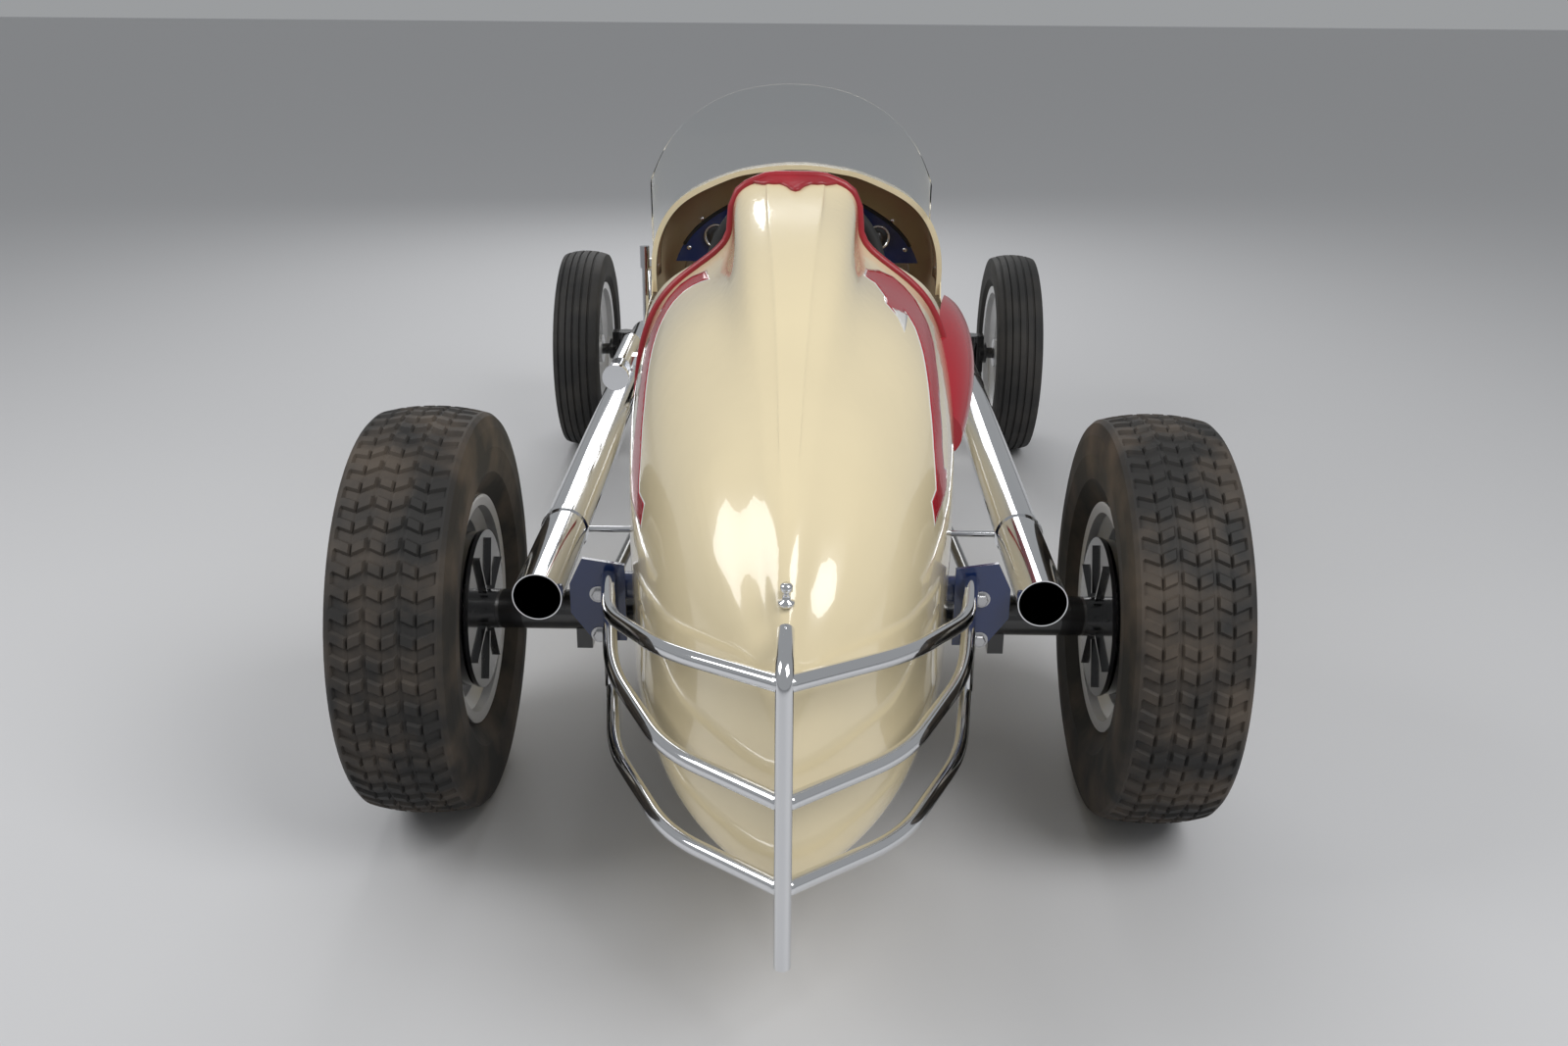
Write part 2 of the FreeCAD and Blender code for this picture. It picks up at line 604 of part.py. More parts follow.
# ---- wheels --------------------------------------------------------------------
def tyre(centre, radius, width):
    """A tyre with a gently crowned tread and a bulged wall."""
    half = width / 2.0
    seat = RIM_SEAT_RADIUS
    bead = half * 0.70
    bead_top = seat + 18.0
    crown = 0.030 * radius
    tall = radius - seat
    wall = [
        (bead_top, bead),
        (seat + 0.32 * tall, half * 0.95),
        (seat + 0.58 * tall, half),
        (seat + 0.80 * tall, half * 0.965),
        (radius - crown, half * 0.84),
    ]

    def place(r, x):
        return FreeCAD.Vector(centre.x + x, centre.y, centre.z + r)

    edges = [
        Part.LineSegment(place(seat, -bead), place(seat, bead)).toShape(),
        Part.Arc(place(*wall[-1]), place(radius, 0), place(wall[-1][0], -wall[-1][1])).toShape(),
    ]
    for sign in (1, -1):
        curve = Part.BSplineCurve()
        curve.interpolate([place(r, sign * x) for r, x in wall])
        edges.append(curve.toShape())
        edges.append(Part.LineSegment(place(seat, sign * bead), place(bead_top, sign * bead)).toShape())
    face = Part.Face(Part.Wire(Part.sortEdges(edges)[0]))
    return face.revolve(centre, ACROSS, 360.0)


def hub_rod(centre, start, stop, radius):
    """A round bar on a wheel's axis, by distance outward from its centre."""
    return rod(centre.add(ACROSS * start), centre.add(ACROSS * stop), radius)


def rim(centre, width, hub_inner, disc_x, sign):
    """A wheel with a drop-centre barrel, a windowed disc and a hub."""
    bead = width / 2.0 * 0.70
    seat = RIM_SEAT_RADIUS
    lip = RIM_FLANGE_RADIUS
    drop = seat - 22.0
    outer = [
        (lip, -bead - 8), (lip, -bead), (seat, -bead), (seat, -bead + 14), (drop, -bead + 30),
        (drop, bead - 30), (seat, bead - 14), (seat, bead), (lip, bead), (lip, bead + 8),
    ]
    inner = [
        (lip - 6, bead + 8), (seat - RIM_WALL, bead + 6), (seat - RIM_WALL, bead - 12),
        (drop - RIM_WALL, bead - 28), (drop - RIM_WALL, -bead + 28), (seat - RIM_WALL, -bead + 12),
        (seat - RIM_WALL, -bead - 6), (lip - 6, -bead - 8),
    ]
    barrel = spin(outer + inner, centre)
    disc_back = disc_x + 9.0
    disc = hub_rod(centre, sign * disc_x, sign * disc_back, drop - 2.0)
    windows = []
    for number in range(WINDOW_COUNT):
        middle = centre.add(UP * WINDOW_CIRCLE)
        hole = hub_rod(middle, sign * (disc_x - 5), sign * (disc_back + 5), WINDOW_RADIUS)
        hole.rotate(centre, ACROSS, 360.0 * number / WINDOW_COUNT)
        windows.append(hole)
    disc = disc.cut(Part.makeCompound(windows))
    return fuse([barrel, disc, hub_rod(centre, sign * hub_inner, sign * (disc_x + 34), HUB_RADIUS)])


def knock_off(centre, start, sign):
    """The centre nut with its three ears."""
    pieces = [hub_rod(centre, sign * start, sign * (start + 26), 34.0)]
    for number in range(3):
        root = centre.add(ACROSS * (sign * (start + 15)))
        ear = rod(root, centre.add(ACROSS * (sign * (start + 19))).add(UP * 66), 9.0)
        ear.rotate(centre, ACROSS, 120 * number)
        pieces.append(ear)
    return fuse(pieces)


def wheels():
    """All four wheels with their tyres, and the rear drums."""
    for name, sign in SIDES:
        centre = at(sign * REAR_WHEEL_X, 0, REAR_TYRE_RADIUS)
        add("rear_tyre_" + name, tyre(centre, REAR_TYRE_RADIUS, REAR_TYRE_WIDTH))
        inner = -78.0
        wheel = rim(centre, REAR_TYRE_WIDTH, inner, 22.0, sign)
        half_shaft = hub_rod(centre, sign * (inner - 110), sign * inner, 21.0)
        add("rear_wheel_" + name, fuse([wheel, half_shaft, knock_off(centre, 54.0, sign)]))
        drum = hub_rod(centre, sign * inner, sign * (inner + 62), DRUM_RADIUS)
        hollow = hub_rod(centre, sign * (inner - 1), sign * (inner + 54), DRUM_RADIUS - DRUM_WALL)
        core = hub_rod(centre, sign * (inner - 2), sign * (inner + 70), HUB_RADIUS)
        add("rear_drum_" + name, drum.cut(hollow).cut(core))
        centre = at(sign * FRONT_WHEEL_X, WHEELBASE, FRONT_TYRE_RADIUS)
        add("front_tyre_" + name, tyre(centre, FRONT_TYRE_RADIUS, FRONT_TYRE_WIDTH))
        wheel = rim(centre, FRONT_TYRE_WIDTH, -48.0, 12.0, sign)
        bore = hub_rod(centre, sign * -60, sign * 45, SPINDLE_RADIUS + 2.0)
        add("front_wheel_" + name, fuse([wheel.cut(bore), knock_off(centre, 45.5, sign)]))


# ---- front axle and knuckles ------------------------------------------------------
def upright(x, low, high, radius):
    """A vertical round bar at the kingpin's distance, from heights about the front axle."""
    return rod(at(x, WHEELBASE, FRONT_TYRE_RADIUS + low), at(x, WHEELBASE, FRONT_TYRE_RADIUS + high), radius)


def front_axle():
    """The tubular axle with a boss for each kingpin."""
    z = FRONT_TYRE_RADIUS
    reach = 60.0
    axle = fuse([cross_rod(KINGPIN_X, WHEELBASE, z, FRONT_AXLE_RADIUS)]
                + [upright(s * KINGPIN_X, -BOSS_HALF, BOSS_HALF, BOSS_RADIUS) for s in (1, -1)])
    for sign in (1, -1):
        x = sign * KINGPIN_X
        axle = axle.cut(upright(x, -reach, reach, KINGPIN_RADIUS + 0.5))
        beyond = box((x, WHEELBASE - reach, z - reach), (x + sign * reach, WHEELBASE + reach, z + reach))
        axle = axle.cut(beyond.cut(upright(x, -reach, reach, BOSS_RADIUS)))
    add("front_axle", axle)


def knuckles():
    """The steered knuckles: kingpin, two ears, web, spindle and arms."""
    z = FRONT_TYRE_RADIUS
    x = KINGPIN_X
    arm_low = LOWER_ARM_Z - ARM_THICK / 2.0
    arm_high = LOWER_ARM_Z + ARM_THICK / 2.0
    eye_t = WHEELBASE - TIE_ROD_ARM
    web = box((x + 8, WHEELBASE - 20, z - KNUCKLE_HALF), (x + 42, WHEELBASE + 20, z + KNUCKLE_HALF))
    web = web.cut(upright(x, -BOSS_HALF - EAR_GAP, BOSS_HALF + EAR_GAP, BOSS_RADIUS + 2.0))
    left_pieces = [
        web,
        rod(at(x + 32, WHEELBASE, z), at(FRONT_WHEEL_X + 40, WHEELBASE, z), SPINDLE_RADIUS),
        rod(at(x + 30, WHEELBASE, z), at(x + 52, WHEELBASE, z), 34.0),
        box((x - 11, eye_t, arm_low), (x + 11, WHEELBASE, arm_high)),
        rod(at(x, eye_t, arm_low), at(x, eye_t, arm_high), 15.0),
        rod(at(x, eye_t, LOWER_ARM_Z - 36), at(x, eye_t, LOWER_ARM_Z), PIN_RADIUS),
    ]
    for name, sign in SIDES:
        side_x = sign * x
        pieces = [on_side(piece, sign) for piece in left_pieces]
        pieces.append(upright(side_x, -BOSS_HALF - 8, BOSS_HALF + 8, KINGPIN_RADIUS))
        pieces.append(upright(side_x, BOSS_HALF + EAR_GAP, KNUCKLE_HALF, BOSS_RADIUS))
        pieces.append(upright(side_x, -KNUCKLE_HALF, -BOSS_HALF - EAR_GAP, BOSS_RADIUS))
        if sign > 0:
            low = UPPER_ARM_TOP - ARM_THICK
            eye_x = x - STEER_ARM
            pieces.append(box((eye_x, WHEELBASE - 12, low), (x, WHEELBASE + 12, UPPER_ARM_TOP)))
            pieces.append(rod(at(eye_x, WHEELBASE, low), at(eye_x, WHEELBASE, UPPER_ARM_TOP), EYE_RADIUS))
        add("knuckle_" + name, fuse(pieces))


def tie_rod():
    """The rod that joins the two lower steering arms."""
    z = LOWER_ARM_Z - 24.0
    t = WHEELBASE - TIE_ROD_ARM
    pieces = [cross_rod(KINGPIN_X, t, z, ROD_RADIUS)]
    holes = []
    for sign in (1, -1):
        x = sign * KINGPIN_X
        pieces.append(rod(at(x, t, z - 10), at(x, t, z + 10), EYE_RADIUS))
        holes.append(rod(at(x, t, z - 40), at(x, t, z + 40), PIN_RADIUS + 0.6))
    add("tie_rod", fuse(pieces).cut(Part.makeCompound(holes)))


def front_links():
    """The radius rods and the torsion arms that carry the front axle."""
    z = FRONT_TYRE_RADIUS
    axle = cross_rod(WIDE, WHEELBASE, z, FRONT_AXLE_RADIUS)
    rods = []
    arms = []
    for name, sign in SIDES:
        rear_t = WHEELBASE - 737
        bar = rod(at(sign * 430, WHEELBASE - 20, z + 8), at(sign * 300, rear_t, 372), FRONT_ROD_RADIUS)
        clamp = rod(at(sign * 416, WHEELBASE, z), at(sign * 446, WHEELBASE, z), FRONT_AXLE_RADIUS + 12.0)
        lug = Part.makeCylinder(15, 70, at(sign * (RAIL_HALF_SPACING + 11), rear_t, 350),
                                FreeCAD.Vector(sign, 0, 0.25))
        rods.append(largest(fuse([bar, clamp, lug]).cut(axle).cut(parts["frame_rail_" + name])))
        bar_t = RAIL_FRONT - 20
        bar_z = RAIL_FRONT_HEIGHT - 46
        lever_x = sign * 342
        tube = rod(at(sign * RAIL_FRONT_HALF_SPACING, bar_t, bar_z), at(sign * 350, bar_t, bar_z), 18.0)
        lever = rod(at(lever_x, bar_t, bar_z), at(lever_x, WHEELBASE + 6, z + 44), FRONT_ROD_RADIUS)
        pad_low = z + FRONT_AXLE_RADIUS - 4
        pad = box((sign * 328, WHEELBASE - 22, pad_low), (sign * 356, WHEELBASE + 22, z + 50))
        arms.append(fuse([tube, lever, pad]).cut(axle))
    add("front_radius_rods", Part.makeCompound(rods))
    add("front_torsion_arms", Part.makeCompound(arms))


# ---- hood, nose, engine --------------------------------------------------------------
def front_body():
    """The hood, its sides with the port slot, the nose and the grille."""
    hood = body_loft(HOOD_STATIONS).cut(body_loft(inset(HOOD_STATIONS, PANEL)))
    sides = hood.common(box((-WIDE, FIREWALL, HOOD_LOW), (WIDE, HOOD_FRONT, HOOD_SPLIT)))
    port = box((-WIDE, FIREWALL + 40, PIPE_HEIGHT - 72), (WIDE, FIREWALL + 500, PIPE_HEIGHT + 88))
    add("hood_top", hood.common(box((-WIDE, FIREWALL, HOOD_SPLIT), (WIDE, HOOD_FRONT, TALL))))
    add("hood_sides", sides.cut(port))
    nose = body_loft(NOSE_STATIONS).cut(body_loft(inset(NOSE_STATIONS, PANEL + 1.0)))
    rails = rail_clearance(RAIL_FRONT_HALF_SPACING, HOOD_FRONT - 200, NOSE_FRONT + 140, RAIL_FRONT_HEIGHT)
    add("nose", nose.cut(rails))
    section = smaller(NOSE_STATIONS[-1][2], 5.0)
    back = NOSE_FRONT - 18.0
    band = body_loft([(t, False, section) for t in (back, NOSE_FRONT - 6.0)])
    hole = body_loft([(t, False, smaller(section, 10.0)) for t in (back - 1.0, NOSE_FRONT - 5.0)])
    pieces = [band.cut(hole)]
    bar_t = NOSE_FRONT - 12.0
    for number in range(GRILLE_BARS):
        x = 168.0 * (number / (GRILLE_BARS - 1) - 0.5)
        bar = rod(at(x, bar_t, NOSE_BOTTOM + 35), at(x, bar_t, NOSE_HEIGHT), GRILLE_BAR_RADIUS)
        pieces.append(bar.common(band))
    add("grille", fuse(pieces))


def engine():
    """The engine as one plain block behind the front axle."""
    start = FIREWALL + 62.0
    add("engine_block", box((-ENGINE_HALF_WIDTH, start, ENGINE_LOW),
                            (ENGINE_HALF_WIDTH, start + ENGINE_LENGTH, ENGINE_HIGH)))


# ---- exhausts -------------------------------------------------------------------------
def exhausts():
    """A side pipe on each side, with four stubs from the engine."""
    joint_t = PIPE_FRONT - 505.0
    hanger_x = BODY_HALF_WIDTH - 20.0
    stub_x = ENGINE_HALF_WIDTH + 1.0
    for name, sign in SIDES:
        x = sign * PIPE_OFFSET
        axis = [at(x, t, PIPE_HEIGHT) for t in (PIPE_END, PIPE_FRONT)]
        pieces = [
            rod(axis[0], axis[1], PIPE_RADIUS),
            Part.makeSphere(PIPE_RADIUS, axis[1]),
            rod(at(x, joint_t - 15, PIPE_HEIGHT), at(x, joint_t + 15, PIPE_HEIGHT), PIPE_RADIUS + 3.0),
            pipe(at(x, 122, PIPE_HEIGHT), at(x, 140, PIPE_HEIGHT), PIPE_RADIUS + 3.0, 3.0),
            rod(at(x - sign * PIPE_RADIUS, 131, PIPE_HEIGHT), at(sign * hanger_x, 131, PIPE_HEIGHT), 6.0),
        ]
        for number in range(STUB_COUNT):
            t = FIREWALL + 90.0 + STUB_PITCH * number
            pieces.append(rod(at(sign * stub_x, t, 520), at(x, t - 30, PIPE_HEIGHT), STUB_RADIUS))
        bore = PIPE_RADIUS - PIPE_WALL
        hollow = rod(at(x, PIPE_END - 5, PIPE_HEIGHT), at(x, joint_t - 45, PIPE_HEIGHT), bore)
        whole = fuse(pieces).cut(hollow).cut(parts["tail_shell"]).cut(parts["engine_block"])
        add("exhaust_" + name, largest(whole))


# ---- bumpers ---------------------------------------------------------------------------
def rear_bumper():
    """Three hoops a side, a tube that joins their ends and the upright in the middle."""
    rear = -REAR_OVERHANG + BUMPER_RADIUS
    centre = [at(0, rear + 99, 702), at(0, rear, 690), at(0, rear, 215)]
    add("bumper_centre_tube", bent_tube(centre, BUMPER_RADIUS, [BUMPER_BEND]))
    end_t = PLATE_T - BUMPER_RADIUS - 1.3
    end_x = PLATE_INNER + 28.0
    rows = (
        (530.0, 566.0, 640.0, 672.0),
        (478.0, 464.0, 474.0, 488.0),
        (312.0, 312.0, 328.0, 348.0),
    )
    hoops = []
    for z_end, z_side, z_bend, z_middle in rows:
        left = [at(end_x, end_t, z_end), at(292, -390, z_side), at(178, -655, z_bend)]
        right = [FreeCAD.Vector(-place.x, place.y, place.z) for place in reversed(left)]
        hoops.append(bent_tube(left + [at(0, rear, z_middle)] + right, BUMPER_RADIUS, HOOP_BENDS))
    for name, sign in SIDES:
        half = box((0, rear - 100, 100), (sign * WIDE, 100, 900))
        pieces = [hoop.common(half) for hoop in hoops]
        ends = [at(sign * end_x, end_t - 3, z) for z in (rows[0][0] + 6, rows[2][0] - 6)]
        pieces.append(rod(ends[0], ends[1], BUMPER_RADIUS))
        add("bumper_" + name, fuse(pieces).cut(parts["bumper_centre_tube"]))


def front_bumper():
    """The bar across the front ends of the rails."""
    front = FRONT - BUMPER_RADIUS
    x = RAIL_FRONT_HALF_SPACING
    bar = [at(x, RAIL_FRONT, RAIL_FRONT_HEIGHT), at(x + 40, front, RAIL_FRONT_HEIGHT),
           at(-x - 40, front, RAIL_FRONT_HEIGHT), at(-x, RAIL_FRONT, RAIL_FRONT_HEIGHT)]
    tube = bent_tube(bar, BUMPER_RADIUS, [2 * BUMPER_BEND] * 2)
    add("front_bumper_bar", tube.cut(parts["frame_rail_left"]).cut(parts["frame_rail_right"]))


# ---- fittings on the cockpit --------------------------------------------------------------
def seat():
    """The two cushions, as plain blocks."""
    half = 225.0
    front = 795.0
    back_front = TAIL_FRONT + 74.0
    add("seat_cushion", box((-half, back_front + 6, 346), (half, front, 430)))
    add("seat_back", box((25 - half, TAIL_FRONT + 4, 432), (half - 25, back_front, 894)))


def fittings():
    """The hand lever and the fuel pump on the left side panel."""
    x = BODY_HALF_WIDTH + 34.0
    pivot_t = 800.0
    top = at(x, pivot_t + 12, 880)
    pieces = [
        rod(at(x, pivot_t, 690), top, 7.0),
        rod(top, at(x, pivot_t + 15, 930), 11.0),
        rod(at(x - 22, pivot_t, 690), at(x + 10, pivot_t, 690), 18.0),
    ]
    add("hand_lever", largest(fuse(pieces).cut(parts["cockpit_side_left"])))
    x = BODY_HALF_WIDTH + 48.0
    z = 752.0
    pieces = [
        rod(at(x, 420, z), at(x, 620, z), 21.0),
        rod(at(x, 350, z), at(x, 420, z), 6.0),
        rod(at(x, 338, z), at(x, 352, z), 27.0),
        box((x - 54, 470, z - 10), (x, 500, z + 10)),
    ]
    add("fuel_pump", largest(fuse(pieces).cut(parts["cockpit_side_left"])))


def elbow_fairing():
    """The bulge on the right side that clears the driver's elbow."""
    wires = []
    inner = BODY_HALF_WIDTH - 68.0
    edge = BODY_HALF_WIDTH - 28.0
    for t, out, low, high in ((600, 54, 715, 880), (430, 56, 700, 872), (100, 4, 672, 760)):
        far = at(-BODY_HALF_WIDTH - out, t, (low + high) / 2.0 + 10)
        corners = [at(-inner, t, low), at(-edge, t, low), at(-edge, t, high), at(-inner, t, high)]
        edges = [
            Part.LineSegment(corners[0], corners[1]).toShape(),
            Part.Arc(corners[1], far, corners[2]).toShape(),
            Part.LineSegment(corners[2], corners[3]).toShape(),
            Part.LineSegment(corners[3], corners[0]).toShape(),
        ]
        wires.append(Part.Wire(edges))
    bulge = Part.makeLoft(wires, True, False, False)
    bulge = bulge.cut(body_loft(TUB_STATIONS)).cut(body_loft(TAIL_STATIONS))
    add("elbow_fairing", largest(bulge))


# ---- windscreen ---------------------------------------------------------------------------
def screen_curve(t_side, t_front, half, z, inset_by):
    """The windscreen's line in plan, at one height."""
    near = 0.86 * half
    middle = t_side + 0.50 * (t_front - t_side)
    places = [(-half, t_side), (-near, middle), (0.0, t_front), (near, middle), (half, t_side)]
    scale = (half - inset_by) / half
    curve = Part.BSplineCurve()
    curve.interpolate([at(SCREEN_OFFSET + x * scale, t - inset_by, z) for x, t in places])
    return curve.toShape()


def windscreen():
    """A curved clear sheet, leaning back, that stands round the cowl's hoop."""
    low_z = 700.0
    high_z = SCREEN_HEIGHT + 40.0
    lean = SCREEN_LEAN * (high_z - low_z)
    side_t = COWL_REAR - 20.0
    front_t = COWL_REAR + 240.0
    rings = []
    for z, side, front, half in ((low_z, side_t + lean / 2, front_t, SCREEN_HALF_WIDTH),
                                 (high_z, side_t - lean / 2, front_t - lean, SCREEN_HALF_WIDTH - 14)):
        outer = screen_curve(side, front, half, z, 0.0)
        inner = screen_curve(side, front, half, z, SCREEN_THICK)
        pairs = [(outer.Vertexes[n].Point, inner.Vertexes[n].Point) for n in (0, -1)]
        caps = [Part.LineSegment(start, stop).toShape() for start, stop in pairs]
        rings.append(Part.Wire(Part.sortEdges([outer, inner] + caps)[0]))
    sheet = Part.makeLoft(rings, True, True, False)
    half = SCREEN_HALF_WIDTH
    right = [(1.02, 905), (1.0, 1040), (0.85, 1162), (0.58, 1240)]
    left = [(-share, z) for share, z in right]
    rows = left + [(0.0, SCREEN_HEIGHT)] + list(reversed(right))
    arch = Part.BSplineCurve()
    arch.interpolate([at(SCREEN_OFFSET + share * half, 0, z) for share, z in rows])
    top = arch.toShape()
    base = Part.LineSegment(top.Vertexes[0].Point, top.Vertexes[-1].Point).toShape()
    outline = Part.Face(Part.Wire([top, base])).extrude(FreeCAD.Vector(0, -COWL_REAR - 350, 0))
    add("windscreen", largest(sheet.common(outline).cut(body_loft(TUB_STATIONS))))


for build in (tail, headrest, cockpit, dashboard, steering, drag_link, frame, rear_plates, rear_axle,
              rear_radius_rods, wheels, front_axle, knuckles, tie_rod, front_links, front_body, engine,
              exhausts, rear_bumper, front_bumper, seat, fittings, elbow_fairing, windscreen):
    build()

os.makedirs("parts", exist_ok=True)
for name, shape in parts.items():
    shape.exportStep(os.path.join("parts", name + ".step"))
    print(name, len(shape.Solids), shape.isValid(), round(shape.Volume / 1000.0, 1))
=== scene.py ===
import json
import math

import bmesh
import bpy
from mathutils import Matrix, Vector
from mathutils.bvhtree import BVHTree
from mathutils.geometry import delaunay_2d_cdt


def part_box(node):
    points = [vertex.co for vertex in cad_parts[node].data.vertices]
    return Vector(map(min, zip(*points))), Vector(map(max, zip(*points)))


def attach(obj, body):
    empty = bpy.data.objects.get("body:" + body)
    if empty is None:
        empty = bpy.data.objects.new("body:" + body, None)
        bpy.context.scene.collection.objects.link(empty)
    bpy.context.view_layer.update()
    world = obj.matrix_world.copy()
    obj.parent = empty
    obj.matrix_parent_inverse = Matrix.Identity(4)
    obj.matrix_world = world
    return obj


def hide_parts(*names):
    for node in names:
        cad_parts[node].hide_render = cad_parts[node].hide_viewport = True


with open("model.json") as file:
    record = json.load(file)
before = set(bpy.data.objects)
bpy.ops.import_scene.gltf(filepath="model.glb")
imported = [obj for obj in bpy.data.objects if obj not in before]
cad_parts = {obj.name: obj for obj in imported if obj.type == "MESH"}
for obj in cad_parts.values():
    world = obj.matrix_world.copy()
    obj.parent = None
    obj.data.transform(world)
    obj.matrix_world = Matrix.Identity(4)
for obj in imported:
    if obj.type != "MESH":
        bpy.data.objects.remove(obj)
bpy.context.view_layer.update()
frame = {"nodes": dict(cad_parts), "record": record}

NODES = frame["nodes"]
NODE_BODY = {node: body for body, nodes in frame["record"]["behaviour"]["bodies"].items() for node in nodes}

# ---- camera: behind and above the tail, as the car is seen -----------------
CAMERA_BEHIND_AXLE = 2.4714
CAMERA_SIDE = -0.0197
CAMERA_HEIGHT = 1.5738
CAMERA_YAW = math.radians(-0.76)
CAMERA_PITCH = math.radians(22.05)
CAMERA_ROLL = math.radians(0.45)
CAMERA_LENS = 32.64

rear_low, rear_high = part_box("rear_tyre_left")
front_low, front_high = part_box("front_tyre_left")
REAR_AXLE = Vector([(a + b) / 2 for a, b in zip(rear_low, rear_high)])
FRONT_AXLE = Vector([(a + b) / 2 for a, b in zip(front_low, front_high)])
REAR_Y = REAR_AXLE.y


def at(x, t, z):
    """A place given by its distance forward of the rear axle."""
    return Vector((x, REAR_Y - t, z))


def add_camera():
    """The camera, placed by its pitch, yaw and roll."""
    camera = bpy.data.objects.new("camera", bpy.data.cameras.new("camera"))
    camera.data.lens = CAMERA_LENS
    camera.data.sensor_width = 36.0
    level = math.cos(CAMERA_PITCH)
    ahead = Vector((-math.sin(CAMERA_YAW) * level, -math.cos(CAMERA_YAW) * level, -math.sin(CAMERA_PITCH)))
    right = Vector((-math.cos(CAMERA_YAW), math.sin(CAMERA_YAW), 0.0))
    up = right.cross(ahead)
    right_rolled = right * math.cos(CAMERA_ROLL) + up * math.sin(CAMERA_ROLL)
    up_rolled = up * math.cos(CAMERA_ROLL) - right * math.sin(CAMERA_ROLL)
    turn = Matrix((right_rolled, up_rolled, -ahead)).transposed()
    place = at(CAMERA_SIDE, -CAMERA_BEHIND_AXLE, CAMERA_HEIGHT)
    camera.matrix_world = Matrix.Translation(place) @ turn.to_4x4()
    bpy.context.collection.objects.link(camera)
    bpy.context.scene.camera = camera


add_camera()


# ---- materials ---------------------------------------------------------------
def principled(name, color, roughness=0.4, metallic=0.0, **sockets):
    """A new material and its parts: nodes, links and shader."""
    material = bpy.data.materials.new(name)
    material.use_nodes = True
    nodes = material.node_tree.nodes
    shader = nodes["Principled BSDF"]
    shader.inputs["Base Color"].default_value = (*color, 1.0)
    shader.inputs["Roughness"].default_value = roughness
    shader.inputs["Metallic"].default_value = metallic
    for label, value in sockets.items():
        shader.inputs[label.replace("_", " ")].default_value = value
    return material, nodes, material.node_tree.links, shader


def noise(nodes, links, scale, detail=4.0):
    """A noise texture in object space."""
    place = nodes.new("ShaderNodeTexCoord")
    texture = nodes.new("ShaderNodeTexNoise")
    texture.inputs["Scale"].default_value = scale
    texture.inputs["Detail"].default_value = detail
    links.new(place.outputs["Object"], texture.inputs["Vector"])
    return texture


def ramp(nodes, links, source, stops):
    """A colour ramp over a value; stops are (position, colour)."""
    node = nodes.new("ShaderNodeValToRGB")
    elements = node.color_ramp.elements
    while len(elements) < len(stops):
        elements.new(0.5)
    for element, (position, color) in zip(elements, stops):
        element.position = position
        element.color = (*color, 1.0)
    links.new(source, node.inputs["Fac"])
    return node


def bump(nodes, links, shader, source, strength, distance):
    """Fine surface relief driven by a value."""
    node = nodes.new("ShaderNodeBump")
    node.inputs["Strength"].default_value = strength
    node.inputs["Distance"].default_value = distance
    links.new(source, node.inputs["Height"])
    links.new(node.outputs["Normal"], shader.inputs["Normal"])


def shades(color, amount):
    """A darker and a lighter tone of one colour."""
    return [tuple(c * (1 - amount) for c in color), tuple(min(1.0, c * (1 + amount)) for c in color)]


def gloss_paint(name, color, roughness=0.22, variation=0.035, coat=1.0):
    """Hand-rubbed enamel under clear coat, with slight mottling and orange peel."""
    material, nodes, links, shader = principled(name, color, roughness, Coat_Weight=coat, Coat_Roughness=0.03)
    tone = noise(nodes, links, 3.0)
    dark, light = shades(color, variation)
    links.new(ramp(nodes, links, tone.outputs["Fac"], [(0.3, dark), (0.7, light)]).outputs["Color"],
              shader.inputs["Base Color"])
    peel = noise(nodes, links, 240.0, 2.0)
    bump(nodes, links, shader, peel.outputs["Fac"], 0.03, 0.0006)
    return material


def metal(name, color, roughness, grain=60.0, spread=0.06, strength=0.02):
    """Bare or plated metal whose polish varies a little."""
    material, nodes, links, shader = principled(name, color, roughness, 1.0)
    tone = noise(nodes, links, grain)
    level = nodes.new("ShaderNodeMapRange")
    level.inputs["To Min"].default_value = max(0.02, roughness - spread)
    level.inputs["To Max"].default_value = roughness + spread
    links.new(tone.outputs["Fac"], level.inputs["Value"])
    links.new(level.outputs["Result"], shader.inputs["Roughness"])
    bump(nodes, links, shader, tone.outputs["Fac"], strength, 0.0005)
    return material


def leather(name, color):
    """Grained leather with a slight shine."""
    material, nodes, links, shader = principled(name, color, 0.38, Coat_Weight=0.25, Coat_Roughness=0.25)
    place = nodes.new("ShaderNodeTexCoord")
    cells = nodes.new("ShaderNodeTexVoronoi")
    cells.inputs["Scale"].default_value = 420.0
    links.new(place.outputs["Object"], cells.inputs["Vector"])
    tone = noise(nodes, links, 14.0)
    dark, light = shades(color, 0.16)
    links.new(ramp(nodes, links, tone.outputs["Fac"], [(0.3, dark), (0.72, light)]).outputs["Color"],
              shader.inputs["Base Color"])
    bump(nodes, links, shader, cells.outputs["Distance"], 0.35, 0.0006)
    return material


def rubber(name, color, dust, dust_amount):
    """Tyre rubber with dry dust on it."""
    material, nodes, links, shader = principled(name, color, 0.72)
    tone = noise(nodes, links, 9.0, 8.0)
    limits = [(0.42, color), (0.42 + 0.6 * (1.0 - dust_amount), dust)]
    links.new(ramp(nodes, links, tone.outputs["Fac"], limits).outputs["Color"], shader.inputs["Base Color"])
    fine = noise(nodes, links, 500.0, 2.0)
    bump(nodes, links, shader, fine.outputs["Fac"], 0.25, 0.0008)
    return material


